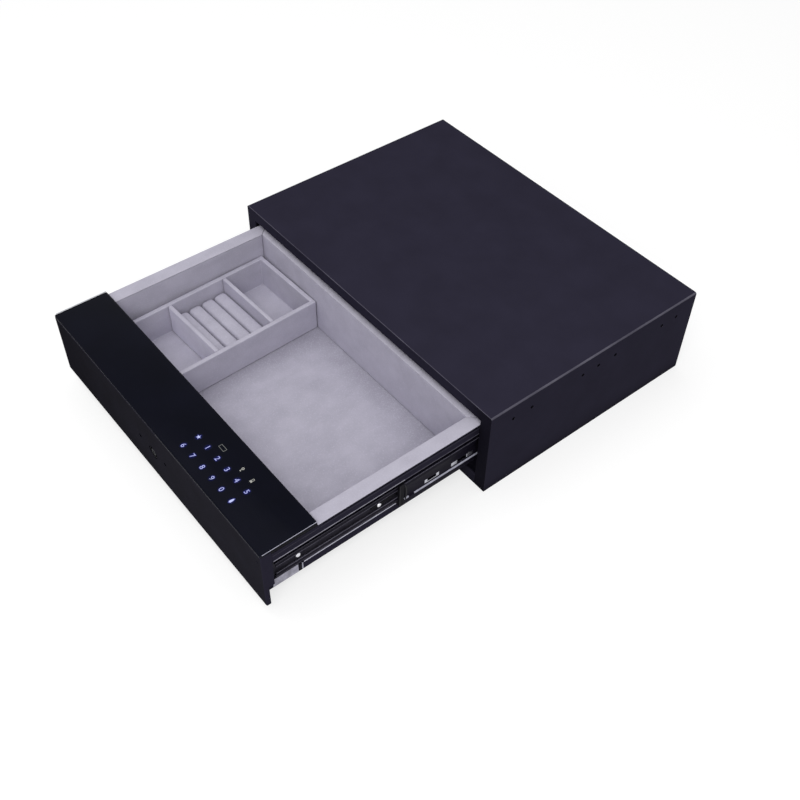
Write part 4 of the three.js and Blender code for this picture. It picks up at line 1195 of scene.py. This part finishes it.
def screw_head(node, sign):
    """A pan head with a cross recess, in place of the screw's plain solid."""
    low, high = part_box(node)
    y, z = (low.y + high.y) / 2, (low.z + high.z) / 2
    inner, outer = sorted((abs(low.x), abs(high.x)))
    under = outer - 1.8 * MM
    profile = [
        (inner, 0),
        (inner, 1.7 * MM),
        (inner + 0.4 * MM, 2 * MM),
        (under, 2 * MM),
        (under, 3.5 * MM),
        (under + 0.5 * MM, 3.48 * MM),
        (outer - 0.7 * MM, 3.1 * MM),
        (outer - 0.25 * MM, 2.3 * MM),
        (outer - 0.04 * MM, 1.1 * MM),
        (outer, 0),
    ]
    piece = turned(node + "_finish", profile, (0, y, z), (sign, 0, 0))
    cut_with(piece, cross((sign * outer, y, z), 3.4 * MM, 0.8 * MM, 0.9 * MM))
    placed(piece, "drawer", "black_steel", replaced=[node])


RIVET = [(212.5, 0), (212.5, 2.4), (212.9, 2.75), (213.4, 2.5), (213.75, 1.6), (213.88, 0)]
CAP = [(211.05, 0), (211.05, 2.6), (211.4, 3), (212.2, 2.9), (212.9, 2.1), (213.3, 0)]
HEADS = (
    ("lever_rivet_", RIVET, -301.9 * MM, SLIDE_Z * MM),
    ("screw_cap_", CAP, -408.9 * MM, (SLIDE_Z + 0.2) * MM),
)
for side, sign in SIDES.items():
    for row in ("front", "rear"):
        screw_head(f"slide_screw_{row}_{side}", sign)
    for name, profile, y, z in HEADS:
        piece = turned(name + side, in_metres(profile), (0, y, z), (sign, 0, 0))
        placed(piece, "drawer", "bright_steel")

# The bare plate and the clip behind it, low on the drawer's right side.
low, high = (209.72, -441.1, 21.9), (210.0, -408.6, 35.2)
strip("blank_plate", low, high, "drawer", "zinc_steel", PLATE_GREY)
low, high = (209.72, -407.4, 22.2), (210.0, -404.6, 33.6)
strip("flange_clip_dark", low, high, "drawer", "black_plastic")
# A clip whose bright face is a painted highlight.
low, high = (209.72, -403.9, 22.4), (210.0, -402.3, 34.1)
strip("flange_clip_bright", low, high, "drawer", "zinc_steel", PAINTED_HIGHLIGHT)

# A painted highlight along the fascia's top edge, under the panel.
low, high = (16, -458.45, 103.8), (219.6, -457.9, 104.5)
strip("panel_front_highlight", low, high, "drawer", "black_paint", PANEL_LINE_HIGHLIGHT)

# Key lock: a turned head whose face is black as painted shade, with a ring of painted
# shade in the recess round the plug.
LOCK_LOW, LOCK_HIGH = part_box("key_cylinder")
LOCK_LENGTH = (LOCK_HIGH.y - LOCK_LOW.y) / MM
LOCK_MIDDLE = (-1 * MM, LOCK_LOW.y, 58 * MM)
barrel = [(0.35, 8.5), (0, 8.15), (0, 7.1), (0.25, 6.8), (1.5, 6.6), (1.5, 4.85)]
barrel += [(LOCK_LENGTH, 4.85), (LOCK_LENGTH, 7.2), (LOCK_LENGTH - 0.3, 7.5)]
barrel += [(1.1, 7.5), (1.1, 8.5), (0.35, 8.5)]
head = turned("key_cylinder_finish", in_metres(barrel), LOCK_MIDDLE, (0, 1, 0))
placed(head, "drawer", "black_steel", PAINTED_SHADE_BLACK, ["key_cylinder"])
second_finish(head, COLLAR_GREY, lambda normal: -0.95 < normal.y < -0.2)
ring = [(1.46, 4.9), (1.46, 6.55), (1.4, 6.6), (1.34, 6.55), (1.34, 4.9)]
ring += [(1.4, 4.85), (1.46, 4.9)]
recess = turned("key_recess_ring", in_metres(ring), LOCK_MIDDLE, (0, 1, 0))
placed(recess, "drawer", "black_plastic", PAINTED_SHADE_BLACK)

# Felt seams down the tray's four outer corners.
TRAY_CORNERS = [(x, y) for y in (-105.9, 105.9) for x in (-59.4, 59.4)]
for index, (x, y) in enumerate(TRAY_CORNERS, 1):
    low = Vector((x - 0.3, y - 0.3, 25.2)) * MM
    high = Vector((x + 0.3, y + 0.3, 68.2)) * MM
    mesh = soft_block(low, high, 0.2 * MM, 20 * MM)
    in_tray(mesh)
    placed(object_from(mesh, f"tray_seam_{index}"), "tray", "grey_felt", SEAM_FELT)


# Camera and light


def camera():
    """The photograph's view, solved from the perspective of the safe's edges."""
    look = Vector((-0.521, 0.434, -0.735)).normalized()
    right = Vector((0.6263, 0.7794, 0.0162))
    right = (right - look * right.dot(look)).normalized()
    up = (-look).cross(right)
    data = bpy.data.cameras.new("camera")
    data.sensor_width = 36
    data.lens = 47.74
    data.clip_start = 0.01
    item = bpy.data.objects.new("camera", data)
    turn = Matrix((right, up, -look)).transposed().to_4x4()
    item.matrix_world = Matrix.Translation((0.7630, -0.7342, 0.9827)) @ turn
    SCENE.collection.objects.link(item)
    SCENE.camera = item


def seen_rays(tree):
    """1 for rays that see the background: from the camera, in metal and in glass."""
    rays = add_node(tree, "ShaderNodeLightPath").outputs
    seen = rays["Is Camera Ray"]
    for kind in ("Is Glossy Ray", "Is Transmission Ray"):
        links = {0: seen, 1: rays[kind]}
        seen = add_node(tree, "ShaderNodeMath", links, operation="MAXIMUM").outputs[0]
    return seen


def lit_and_shown(tree, output, lighting, shown):
    """Ends a tree with one shader for the light it gives and one for what is seen."""
    links = {0: seen_rays(tree), 1: lighting.outputs[0], 2: shown.outputs[0]}
    mixed = add_node(tree, "ShaderNodeMixShader", links)
    add_node(tree, output, {0: mixed.outputs[0]})


def white_world(fill):
    """Soft light from all round, fill strong, which is seen as white."""
    world = bpy.data.worlds.new("studio")
    SCENE.world = world
    world.use_nodes = True
    tree = world.node_tree
    tree.nodes.clear()
    white = (1, 1, 1, 1)
    soft = add_node(tree, "ShaderNodeBackground", {"Color": white, "Strength": fill})
    shown = add_node(tree, "ShaderNodeBackground", {"Color": white})
    lit_and_shown(tree, "ShaderNodeOutputWorld", soft, shown)


def pale_floor(level):
    """A wide floor that looks white and still takes the object's shadow."""
    mesh = bmesh.new()
    bmesh.ops.create_grid(mesh, x_segments=1, y_segments=1, size=6)
    bmesh.ops.translate(mesh, verts=mesh.verts, vec=(0, 0, level))
    floor = object_from(mesh, "studio_floor")
    material = bpy.data.materials.new("studio_floor")
    material.use_nodes = True
    tree = material.node_tree
    tree.nodes.clear()
    plain = add_node(tree, "ShaderNodeBsdfDiffuse", {"Color": (0.4, 0.4, 0.4, 1)})
    glow = add_node(tree, "ShaderNodeEmission", {"Strength": 0.66})
    links = {0: plain.outputs[0], 1: glow.outputs[0]}
    shown = add_node(tree, "ShaderNodeAddShader", links)
    lit_and_shown(tree, "ShaderNodeOutputMaterial", plain, shown)
    floor.data.materials.append(material)


def lamp(name, place, size, watts):
    """A square soft lamp that points at the middle of the safe."""
    data = bpy.data.lights.new(name, "AREA")
    data.shape = "SQUARE"
    data.size = size
    data.energy = watts
    item = bpy.data.objects.new(name, data)
    toward = Vector((0, -0.15, 0.06)) - Vector(place)
    item.rotation_euler = toward.to_track_quat("-Z", "Y").to_euler()
    item.location = place
    SCENE.collection.objects.link(item)


camera()
white_world(0.55)
pale_floor(-0.6 * MM)
lamp("lamp_top", (-0.55, -0.6, 2.45), 2, 15)
lamp("lamp_front", (1.25, -1.25, 1.9), 1.4, 25)
